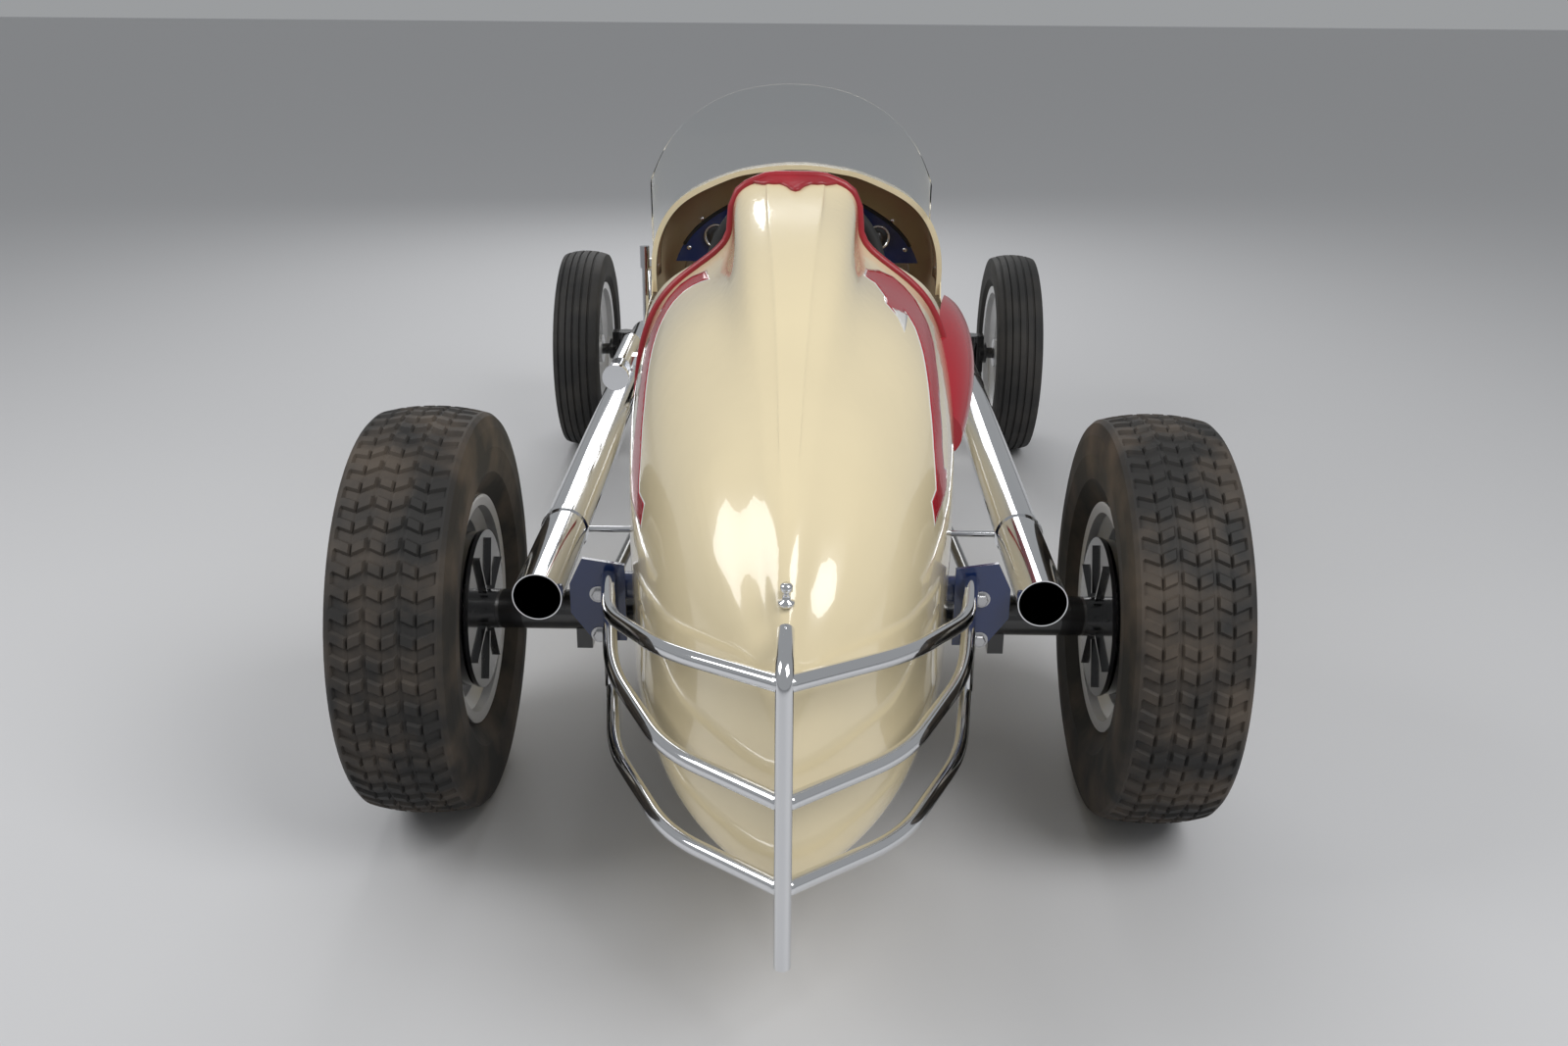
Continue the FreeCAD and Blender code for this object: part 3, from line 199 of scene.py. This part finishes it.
CREAM = (0.86, 0.735, 0.475)
MAT = {
    "cream": gloss_paint("cream_paint", CREAM),
    "red": gloss_paint("red_paint", (0.40, 0.008, 0.020), coat=0.35),
    "white": gloss_paint("white_line", (0.80, 0.79, 0.76)),
    "blue": gloss_paint("navy_paint", (0.006, 0.022, 0.105)),
    "black": gloss_paint("black_paint", (0.008, 0.008, 0.009)),
    "chrome": metal("chrome", (0.80, 0.81, 0.83), 0.07, 40.0, 0.03, 0.01),
    "steel": metal("steel", (0.55, 0.55, 0.56), 0.28),
    "silver": metal("wheel_silver", (0.72, 0.72, 0.72), 0.42, 90.0, 0.08, 0.05),
    "iron": metal("engine_iron", (0.10, 0.10, 0.105), 0.5, 120.0, 0.1, 0.2),
    "leather": leather("red_leather", (0.36, 0.014, 0.024)),
    "rear_rubber": rubber("rear_tyre_rubber", (0.020, 0.019, 0.018), (0.085, 0.066, 0.050), 0.55),
    "front_rubber": rubber("front_tyre_rubber", (0.018, 0.018, 0.018), (0.05, 0.045, 0.04), 0.35),
    "grip": rubber("wheel_grip", (0.012, 0.012, 0.012), (0.02, 0.02, 0.02), 0.2),
    # cowl liner: the cream paint darkened to tan, painted shade inside the cowl hoop
    "liner_painted_shade": gloss_paint("cream_in_painted_shade", (0.50, 0.34, 0.20), 0.6, 0.08),
    "dial": gloss_paint("dial_face", (0.03, 0.03, 0.032), 0.35),
}


def acrylic():
    """Clear sheet with a faint haze."""
    material, nodes, links, shader = principled("clear_acrylic", (0.97, 0.985, 0.985), 0.02,
                                                Transmission_Weight=1.0, IOR=1.12)
    haze = noise(nodes, links, 30.0)
    level = nodes.new("ShaderNodeMapRange")
    level.inputs["To Min"].default_value = 0.01
    level.inputs["To Max"].default_value = 0.05
    links.new(haze.outputs["Fac"], level.inputs["Value"])
    links.new(level.outputs["Result"], shader.inputs["Roughness"])
    return material


MAT["acrylic"] = acrylic()

CAD_MATERIALS = {
    "cream": ("tail_shell", "cockpit_side_left", "cockpit_side_right", "belly_pan", "cowl", "hood_top",
              "hood_sides", "nose"),
    "red": ("elbow_fairing",),
    "blue": ("dashboard", "frame_rail_left", "frame_rail_right", "frame_cross_tubes", "rear_plates"),
    "black": ("rear_axle", "front_axle", "knuckle_left", "knuckle_right", "rear_drum_left", "rear_drum_right",
              "front_radius_rods", "front_torsion_arms", "rear_radius_rods", "steering_column"),
    "chrome": ("exhaust_left", "exhaust_right", "bumper_centre_tube", "bumper_left", "bumper_right",
               "front_bumper_bar", "hand_lever", "fuel_pump", "grille", "tie_rod", "drag_link", "pitman_arm"),
    "silver": ("rear_wheel_left", "rear_wheel_right", "front_wheel_left", "front_wheel_right"),
    "rear_rubber": ("rear_tyre_left", "rear_tyre_right"),
    "front_rubber": ("front_tyre_left", "front_tyre_right"),
    "acrylic": ("windscreen",),
    "steel": ("firewall",),
    "iron": ("engine_block",),
    "grip": ("steering_wheel",),
    "leather": ("headrest_pad", "seat_cushion", "seat_back"),
}
for key, names in CAD_MATERIALS.items():
    for name in names:
        node = NODES[name]
        node.data.materials.clear()
        node.data.materials.append(MAT[key])


# ---- mesh helpers ----------------------------------------------------------------
def piece(name, mesh, material, body, smooth=True):
    """A new object that rides on a body."""
    obj = bpy.data.objects.new(name, mesh)
    bpy.context.collection.objects.link(obj)
    if material:
        mesh.materials.append(MAT[material])
    for polygon in mesh.polygons:
        polygon.use_smooth = smooth
    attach(obj, body)
    return obj


def mesh_from(name, make):
    """A mesh built by a function that fills a bmesh."""
    work = bmesh.new()
    make(work)
    mesh = bpy.data.meshes.new(name)
    bmesh.ops.recalc_face_normals(work, faces=work.faces)
    work.to_mesh(mesh)
    work.free()
    return mesh


def grid_faces(work, rows, closed_rows=False, closed_columns=False):
    """Faces between rows of vertices."""
    count = len(rows)
    width = len(rows[0])
    for i in range(count if closed_rows else count - 1):
        for j in range(width if closed_columns else width - 1):
            a, b = rows[i], rows[(i + 1) % count]
            k = (j + 1) % width
            work.faces.new((a[j], a[k], b[k], b[j]))


def tube_along(name, path, radius, material, body, sides=12, closed=False):
    """A round tube mesh that follows places."""
    def make(work):
        rows = []
        count = len(path)
        normal = Vector((0, 0, 1))
        for i, place in enumerate(path):
            before = path[i - 1] if (i or closed) else place
            after = path[(i + 1) % count] if (i < count - 1 or closed) else place
            along = (after - before).normalized()
            side = along.cross(normal)
            if side.length < 0.01:
                side = along.cross(Vector((0, 1, 0)))
            side.normalize()
            up = side.cross(along).normalized()
            rows.append([work.verts.new(place + (side * math.cos(a) + up * math.sin(a)) * radius)
                         for a in (2 * math.pi * k / sides for k in range(sides))])
        grid_faces(work, rows, closed, True)
        if not closed:
            work.faces.new(rows[0])
            work.faces.new(list(reversed(rows[-1])))
    return piece(name, mesh_from(name, make), material, body)


def lathe(work, centre, axis, profile, sides=32):
    """A turned shape: profile is (distance along the axis, radius)."""
    along = axis.normalized()
    side = along.cross(Vector((0, 0, 1)))
    if side.length < 0.01:
        side = along.cross(Vector((0, 1, 0)))
    side.normalize()
    up = side.cross(along)
    rows = []
    for reach, radius in profile:
        middle = centre + along * reach
        rows.append([work.verts.new(middle + (side * math.cos(a) + up * math.sin(a)) * radius)
                     for a in (2 * math.pi * k / sides for k in range(sides))])
    grid_faces(work, rows, False, True)
    work.faces.new(rows[0])
    work.faces.new(list(reversed(rows[-1])))


def turned(name, centre, axis, profile, material, body, sides=32):
    """A turned piece that rides on a body."""
    mesh = mesh_from(name, lambda work: lathe(work, centre, axis, profile, sides))
    return piece(name, mesh, material, body)


# ---- tyres ------------------------------------------------------------------------
RIM_SEAT = 0.205


def rear_tread(x, row):
    """Depth of the rear tread's grooves: slanted slots between zigzag lines."""
    lines = (0.0, 0.31, 0.62)
    if min(abs(abs(x) - line) for line in lines) < 0.035:
        return 1.0
    if abs(x) < 0.95 and row % 2:
        return 0.8
    return 0.0


def tyre(name, node, hub_centre, radius, width, seat, pitches, depth, ribbed):
    """A tyre whose tread is cut in real relief."""
    half = width / 2
    columns = 49
    tread_half = half * 0.86
    crown = 0.030 * radius

    def make(work):
        rows = []
        steps = pitches * 4
        for step in range(steps):
            phase = step % 4
            row = []
            wall = [(0.70, seat + 0.004), (0.70, seat + 0.018), (0.95, seat + 0.32 * (radius - seat)),
                    (1.0, seat + 0.58 * (radius - seat)), (0.975, seat + 0.78 * (radius - seat)),
                    (0.925, seat + 0.90 * (radius - seat))]
            profile = [(-x * half, r, 0.0) for x, r in wall]
            for column in range(columns):
                u = -1 + 2 * column / (columns - 1)
                rise = radius - crown * abs(u) ** 2.2
                if ribbed:
                    cut = 1.0 if abs(((u + 1) * 2.75) % 1.0 - 0.5) > 0.40 and abs(u) < 0.93 else 0.0
                else:
                    cut = rear_tread(u, 1 if phase >= 2 else 0)
                profile.append((u * tread_half, rise - depth * cut, 1.0))
            profile += [(x * half, r, 0.0) for x, r in reversed(wall)]
            for x, r, slanted in profile:
                u = x / tread_half
                zig = (abs(((u * 3.2) % 2.0) - 1.0) - 0.5) * 0.9 * slanted if not ribbed else 0.0
                base = step // 2 * 2 + (0.0 if phase % 2 == 0 else 1.55)
                angle = 2 * math.pi * (base + zig * 1.4) / steps
                spot = Vector((x, r * math.sin(angle), r * math.cos(angle)))
                row.append(work.verts.new(spot + hub_centre))
            rows.append(row)
        grid_faces(work, rows, True, True)
    mesh = mesh_from(name, make)
    obj = piece(name, mesh, "front_rubber" if ribbed else "rear_rubber", NODE_BODY[node], smooth=False)
    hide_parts(node)
    return obj


for side, sign in (("left", 1), ("right", -1)):
    centre = Vector((sign * REAR_AXLE.x, REAR_AXLE.y, REAR_AXLE.z))
    tyre("rear_tread_" + side, "rear_tyre_" + side, centre, REAR_AXLE.z, rear_high[0] - rear_low[0],
         RIM_SEAT, 60, 0.007, False)
    centre = Vector((sign * FRONT_AXLE.x, FRONT_AXLE.y, FRONT_AXLE.z))
    tyre("front_tread_" + side, "front_tyre_" + side, centre, FRONT_AXLE.z, front_high[0] - front_low[0],
         RIM_SEAT, 40, 0.005, True)


# ---- surfaces to build on ----------------------------------------------------------
AXIS_HEIGHT = 0.62
CAST_REACH = 2.0


def surface(*names):
    """A search tree over the faces of CAD pieces at rest."""
    places = []
    faces = []
    for name in names:
        obj = NODES[name]
        start = len(places)
        places += [obj.matrix_world @ vertex.co for vertex in obj.data.vertices]
        faces += [[start + index for index in polygon.vertices] for polygon in obj.data.polygons]
    return BVHTree.FromPolygons(places, faces)


def outward(angle):
    """The direction at an angle from the vertical, seen along the car."""
    return Vector((math.sin(angle), 0.0, math.cos(angle)))


def around(tree, t, angle):
    """The outermost point of a surface at an angle from the vertical, and its normal."""
    out = outward(angle)
    place, normal, _, _ = tree.ray_cast(at(0, t, AXIS_HEIGHT) + out * CAST_REACH, -out)
    if place is None:
        return None
    if normal.dot(out) < 0:
        normal = -normal
    return place, normal


def smooth_path(places, step):
    """A polyline resampled at an even step."""
    result = [places[0]]
    for start, end in zip(places, places[1:]):
        count = max(1, round((end - start).length / step))
        result += [start.lerp(end, number / count) for number in range(1, count + 1)]
    return result


# ---- painted stripes -----------------------------------------------------------------
STRIPE_RADIUS = 0.38
LEFT_STRIPE = (
    (.279, 25.5), (.300, 30), (.305, 34), (.295, 38.5), (.275, 42), (.268, 40.8), (.23, 45.5),
    (.17, 49), (.10, 51), (.03, 53), (-.03, 56), (-.08, 60), (-.115, 65), (-.14, 70), (-.125, 72.5),
    (-.19, 75.5), (-.32, 73), (-.315, 65), (-.262, 66.5), (-.225, 60.9), (-.189, 57.2), (-.141, 53.9),
    (-.095, 51), (-.03, 48.3), (.034, 46.2), (.099, 44.2), (.158, 42), (.205, 39.3), (.235, 36.5),
    (.248, 33), (.245, 29.5), (.232, 26.5), (.212, 24),
)
RIGHT_STRIPE = (
    (.273, 23.8), (.292, 28.3), (.285, 32.3), (.265, 36.4), (.227, 39.2), (.195, 41.5), (.127, 43.9),
    (.044, 45.6), (-.017, 48), (-.077, 50.6), (-.124, 54.1), (-.171, 57.6), (-.199, 62.3), (-.18, 64.7),
    (-.209, 68.6), (-.336, 68.8), (-.326, 61.5), (-.285, 61.6), (-.26, 57.5), (-.222, 52.8),
    (-.179, 49.3), (-.132, 46), (-.065, 42.5), (.008, 39.2), (.079, 35.9), (.1275, 32.1), (.0486, 30.8),
    (.0886, 25.8), (.1245, 25.6), (.176, 22.4), (.166, 19), (.2245, 19.9),
)
RIGHT_TIP = ((.085, 27.5), (.01, 32), (.115, 33))


def flat_outline(outline):
    """An outline in degrees, laid flat in metres."""
    return [Vector((t, math.radians(degrees) * STRIPE_RADIUS)) for t, degrees in outline]


def edges_of(outline):
    """Each side of a closed outline, as its two ends."""
    return list(zip(outline, outline[1:] + outline[:1]))


def grown(outline, margin):
    """An outline moved outward by a margin, with its sharp corners held back."""
    area = sum(a.x * b.y - b.x * a.y for a, b in edges_of(outline))
    turn = 1.0 if area > 0 else -1.0
    result = []
    for before, place, after in zip(outline[-1:] + outline[:-1], outline, outline[1:] + outline[:1]):
        first = (place - before).normalized()
        second = (after - place).normalized()
        out = (Vector((first.y, -first.x)) + Vector((second.y, -second.x))) * turn
        if out.length < 0.2:
            out = first - second
        out.normalize()
        share = max(0.5, abs(out.dot(Vector((first.y, -first.x)))))
        result.append(place + out * min(margin / share, margin * 1.8))
    return result


def inside(place, outline):
    """True where a place lies within an outline."""
    found = False
    for a, b in edges_of(outline):
        if (a.y > place.y) != (b.y > place.y):
            crossing = (b.x - a.x) * (place.y - a.y) / (b.y - a.y) + a.x
            if place.x < crossing:
                found = not found
    return found


def paint(name, outline, sign, tree, material, lift):
    """A closed thin skin of paint over the tail, within an outline."""
    pitch = 0.007
    edge = []
    for a, b in edges_of(outline):
        count = max(1, math.ceil((b - a).length / pitch))
        edge += [a.lerp(b, number / count) for number in range(count)]
    low = Vector((min(p.x for p in edge), min(p.y for p in edge)))
    high = Vector((max(p.x for p in edge), max(p.y for p in edge)))
    fill = []
    for i in range(1, math.ceil((high.x - low.x) / pitch)):
        for j in range(1, math.ceil((high.y - low.y) / pitch)):
            place = low + Vector((i * pitch, j * pitch))
            if inside(place, outline) and min((place - p).length for p in edge) > pitch * 0.5:
                fill.append(place)
    rim = list(range(len(edge)))
    flat, _, faces, _, _, _ = delaunay_2d_cdt(edge + fill, [], [rim], 1, 1e-6)
    deep = 0.0012

    def make(work):
        top = []
        bottom = []
        for place in flat:
            place_on, normal = around(tree, place.x, sign * place.y / STRIPE_RADIUS)
            top.append(work.verts.new(place_on + normal * lift))
            bottom.append(work.verts.new(place_on - normal * deep))
        sides = {}
        for face in faces:
            work.faces.new([top[k] for k in face])
            work.faces.new([bottom[k] for k in reversed(face)])
            for a, b in zip(face, face[1:] + face[:1]):
                sides[(a, b)] = sides.get((a, b), 0) + 1
        for a, b in sides:
            if (b, a) not in sides:
                work.faces.new((top[b], top[a], bottom[a], bottom[b]))

    return piece(name, mesh_from(name, make), material, "chassis")


TAIL = surface("tail_shell")
for side, sign, outline in (("left", 1, LEFT_STRIPE), ("right", -1, RIGHT_STRIPE)):
    flat = flat_outline(outline)
    paint("stripe_edge_" + side, grown(flat, 0.004), sign, TAIL, "white", 0.0004)
    paint("stripe_" + side, flat, sign, TAIL, "red", 0.0008)
paint("stripe_tip_right", flat_outline(RIGHT_TIP), -1, TAIL, "white", 0.0012)
CAP_EDGE = (
    (.327, -9.2), (.318, -8.2), (.304, -6.4), (.299, -4.6), (.300, -3.2), (.290, -1.8), (.277, -.9),
    (.272, 0), (.277, .9), (.290, 1.8), (.300, 3.2), (.299, 4.6), (.304, 6.4), (.318, 8.2), (.327, 9.2),
)
cap = paint("headrest_cap", flat_outline(CAP_EDGE), 1, TAIL, "leather", 0.005)


# ---- red leather roll round the tail's front seam ---------------------------------------
def seam_roll():
    """The padded roll over the cockpit's rear edge."""
    t = 0.324
    places = []
    for degrees in range(-96, 97, 2):
        found = around(TAIL, t, math.radians(degrees))
        if found:
            places.append(found[0] + found[1] * 0.003 + Vector((0, -0.006, 0)))
    roll = tube_along("seam_roll", smooth_path(places, 0.012), 0.0085, "leather", "chassis", 14)


seam_roll()


# ---- cushions ------------------------------------------------------------------------------
def border(grid):
    """The vertices round a grid's edge, in order."""
    return grid[0] + [row[-1] for row in grid[1:]] + grid[-1][-2::-1] + [row[0] for row in grid[-2:0:-1]]


def cushion(name, node, puff, channels, thick, face_side):
    """A crowned, channelled leather cushion in a node's box, thick along one axis."""
    low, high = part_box(node)
    columns = 41
    rows = 33
    across = 0
    along = 3 - thick
    spread = [high[k] - low[k] for k in range(3)]

    def make(work):
        def layer(side):
            grid = []
            for i in range(rows):
                line = []
                for j in range(columns):
                    u = -1 + 2 * j / (columns - 1)
                    v = -1 + 2 * i / (rows - 1)
                    pull = 1.0 - 0.030 * (1 - abs(v) ** 2) if abs(u) > 0.01 else 1.0
                    swell = ((1 - abs(u) ** 5) * (1 - abs(v) ** 5)) ** 0.5
                    depth = 0.5 + side * 0.5 * (1 - puff + puff * swell)
                    if side == face_side and channels:
                        groove = abs(math.cos(math.pi * channels * (u + 1) / 2)) ** 0.35
                        depth -= side * 0.10 * (1 - groove) * swell
                    place = [0.0, 0.0, 0.0]
                    place[across] = low[across] + spread[across] * (0.5 + 0.5 * u * pull)
                    waist = 1.0 - 0.025 * (1 - abs(u) ** 2)
                    place[along] = low[along] + spread[along] * (0.5 + 0.5 * v * waist)
                    place[thick] = low[thick] + spread[thick] * depth
                    line.append(work.verts.new(place))
                grid.append(line)
            return grid

        upper = layer(1)
        lower = layer(-1)
        grid_faces(work, upper)
        grid_faces(work, lower)
        top = border(upper)
        bottom = border(lower)
        for k in range(len(top)):
            n = (k + 1) % len(top)
            work.faces.new((top[k], top[n], bottom[n], bottom[k]))

    obj = piece(name, mesh_from(name, make), "leather", "chassis")
    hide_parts(node)
    return obj


cushion("seat_squab", "seat_cushion", 0.55, 6, 2, 1)
cushion("seat_back_pad", "seat_back", 0.55, 6, 1, -1)


# ---- cowl liner and dashboard trims --------------------------------------------------------
def liner():
    """The cream trim inside the cowl, from its lip to the dashboard, darkened to tan as painted shade."""
    tree = surface("cowl")
    rows = []
    for t in (0.872, 0.90, 0.93, 0.96, 0.974):
        row = []
        for degrees in range(-72, 73, 3):
            out = outward(math.radians(degrees))
            centre = at(0, t, AXIS_HEIGHT)
            place, _, _, distance = tree.ray_cast(centre, out)
            if place is not None:
                row.append((centre + out * (distance - 0.0015), centre + out * (distance - 0.0035)))
        rows.append(row)
    count = min(len(row) for row in rows)

    def make(work):
        outer = [[work.verts.new(pair[0]) for pair in row[:count]] for row in rows]
        inner = [[work.verts.new(pair[1]) for pair in row[:count]] for row in rows]
        grid_faces(work, outer)
        grid_faces(work, inner)
        pairs = [(outer[0], inner[0]), (outer[-1], inner[-1])]
        pairs += [([row[end] for row in outer], [row[end] for row in inner]) for end in (0, -1)]
        for a, b in pairs:
            for k in range(len(a) - 1):
                work.faces.new((a[k], a[k + 1], b[k + 1], b[k]))

    # the liner gets the darkened cream, painted shade in place of its real cream colour
    piece("cowl_liner", mesh_from("cowl_liner", make), "liner_painted_shade", "chassis")
    for degrees in range(-66, 67, 12):
        out = outward(math.radians(degrees))
        centre = at(0, 0.925, AXIS_HEIGHT)
        place, _, _, distance = tree.ray_cast(centre, out)
        if place is not None:
            turned("liner_screw_%d" % (degrees + 66), centre + out * (distance - 0.003), -out,
                   [(0.0, 0.0055), (0.0012, 0.005), (0.0022, 0.003)], "steel", "chassis", 14)


def dash_trim():
    """A black rubber edging along the dashboard's rim, screws and instruments."""
    low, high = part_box("dashboard")
    tree = surface("dashboard")
    middle = (low[1] + high[1]) / 2
    rim = []
    for degrees in range(-84, 85, 3):
        out = outward(math.radians(degrees))
        centre = Vector((0, middle, low[2] + 0.012))
        place = tree.ray_cast(centre + out * 0.6, -out)[0]
        if place is not None:
            rim.append(place - out * 0.002)
    tube_along("dash_edging", smooth_path(rim, 0.015), 0.0045, "grip", "chassis", 10)
    face = high[1]
    for number, (x, z, radius) in enumerate(((-.195, .925, .030), (-.10, .945, .036), (.10, .945, .036),
                                             (.195, .925, .030))):
        centre = Vector((x, face, z))
        turned("gauge_ring_%d" % number, centre - Vector((0, .001, 0)), Vector((0, 1, 0)),
               [(0.0, radius), (0.009, radius), (0.011, radius - .002), (0.011, radius - .005),
                (0.004, radius - .006)],
               "chrome", "chassis", 40)
        turned("gauge_face_%d" % number, centre + Vector((0, .0028, 0)), Vector((0, 1, 0)),
               [(0.0, radius - .0062), (0.0025, radius - .0062)], "dial", "chassis", 32)
    for number, (x, z) in enumerate(((-.262, .895), (.262, .895), (-.15, .878), (.15, .878), (0.0, .985),
                                     (-.23, .965), (.23, .965))):
        turned("dash_screw_%d" % number, Vector((x, face - .001, z)), Vector((0, 1, 0)),
               [(0.0, .006), (.0025, .0055), (.004, .003)], "chrome", "chassis", 16)


liner()
dash_trim()


# ---- bolts and small fittings --------------------------------------------------------------
def hex_bolt(name, centre, out, size, material, body="chassis"):
    """A washer, a six-sided head and a rounded end."""
    washer = turned(name + "_washer", centre - out * .001, out,
                    [(0.0, size * 1.35), (.003, size * 1.35)], material, body, 24)
    head = turned(name, centre + out * .0015, out,
                  [(0.0, size), (size * .62, size), (size * .75, size * .86)], material, body, 6)
    for polygon in head.data.polygons:
        polygon.use_smooth = False
    for polygon in washer.data.polygons:
        polygon.use_smooth = False


low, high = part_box("rear_plates")
plate_face = high[1]
for side, sign in (("left", 1), ("right", -1)):
    for number, (x, z, size) in enumerate(((.345, .491, .0115), (.345, .410, .0115))):
        place = Vector((sign * x, plate_face, z))
        hex_bolt("plate_bolt_%s_%d" % (side, number), place, Vector((0, 1, 0)), size, "steel")

place, normal = around(TAIL, -0.676, 0.0)
turned("filler_vent", place - Vector((0, 0, .003)), Vector((0, 0, 1)),
       [(0.0, .012), (.006, .012), (.008, .006), (.020, .006), (.022, .009), (.030, .009), (.033, .006)],
       "chrome", "chassis", 24)


# ---- nuts round the hubs -----------------------------------------------------------------
REAR_DISC_FACE = .022 + .009
FRONT_DISC_FACE = .012 + .009


def wheel_nuts(sign, node, centre, disc_x):
    """Six nuts on a circle round the wheel's hub."""
    circle = 0.075
    count = 6
    body = NODE_BODY[node]
    out = Vector((sign, 0, 0))
    for number in range(count):
        angle = 2 * math.pi * (number + 0.5) / count
        place = centre + out * disc_x + Vector((0, math.sin(angle), math.cos(angle))) * circle
        hex_bolt("%s_nut_%d" % (node, number), place, out, .0085, "steel", body)


for side, sign in (("left", 1), ("right", -1)):
    centre = Vector((sign * REAR_AXLE.x, REAR_AXLE.y, REAR_AXLE.z))
    wheel_nuts(sign, "rear_wheel_" + side, centre, REAR_DISC_FACE)
    centre = Vector((sign * FRONT_AXLE.x, FRONT_AXLE.y, FRONT_AXLE.z))
    wheel_nuts(sign, "front_wheel_" + side, centre, FRONT_DISC_FACE)


# ---- stage ---------------------------------------------------------------------------
def add_stage():
    """The floor, the pale surroundings and three soft lights."""
    floor_mesh = bpy.data.meshes.new("floor")
    size = 30.0
    corners = [(-size, -size, 0), (size, -size, 0), (size, size, 0), (-size, size, 0)]
    floor_mesh.from_pydata(corners, [], [(0, 1, 2, 3)])
    floor = bpy.data.objects.new("floor", floor_mesh)
    bpy.context.collection.objects.link(floor)
    material, nodes, links, shader = principled("floor", (0.62, 0.62, 0.63), 0.55)
    floor_mesh.materials.append(material)
    world = bpy.data.worlds.new("world")
    world.use_nodes = True
    background = world.node_tree.nodes["Background"]
    background.inputs["Color"].default_value = (0.78, 0.80, 0.82, 1.0)
    background.inputs["Strength"].default_value = 0.42
    bpy.context.scene.world = world
    for name, place, aim, size, power in (
            ("key", (-2.5, 3.0, 4.2), (0, 0, 0.5), 2.6, 130.0),
            ("fill", (3.4, 1.5, 3.4), (0, 0, 0.5), 2.2, 70.0),
            ("front", (0.5, -4.5, 3.2), (0, 0, 0.5), 2.6, 70.0)):
        light = bpy.data.lights.new(name, "AREA")
        light.size = size
        light.energy = power
        lamp = bpy.data.objects.new(name, light)
        lamp.location = place
        lamp.rotation_euler = (Vector(aim) - Vector(place)).to_track_quat("-Z", "Y").to_euler()
        bpy.context.collection.objects.link(lamp)
    bpy.context.scene.view_settings.view_transform = "Standard"


add_stage()
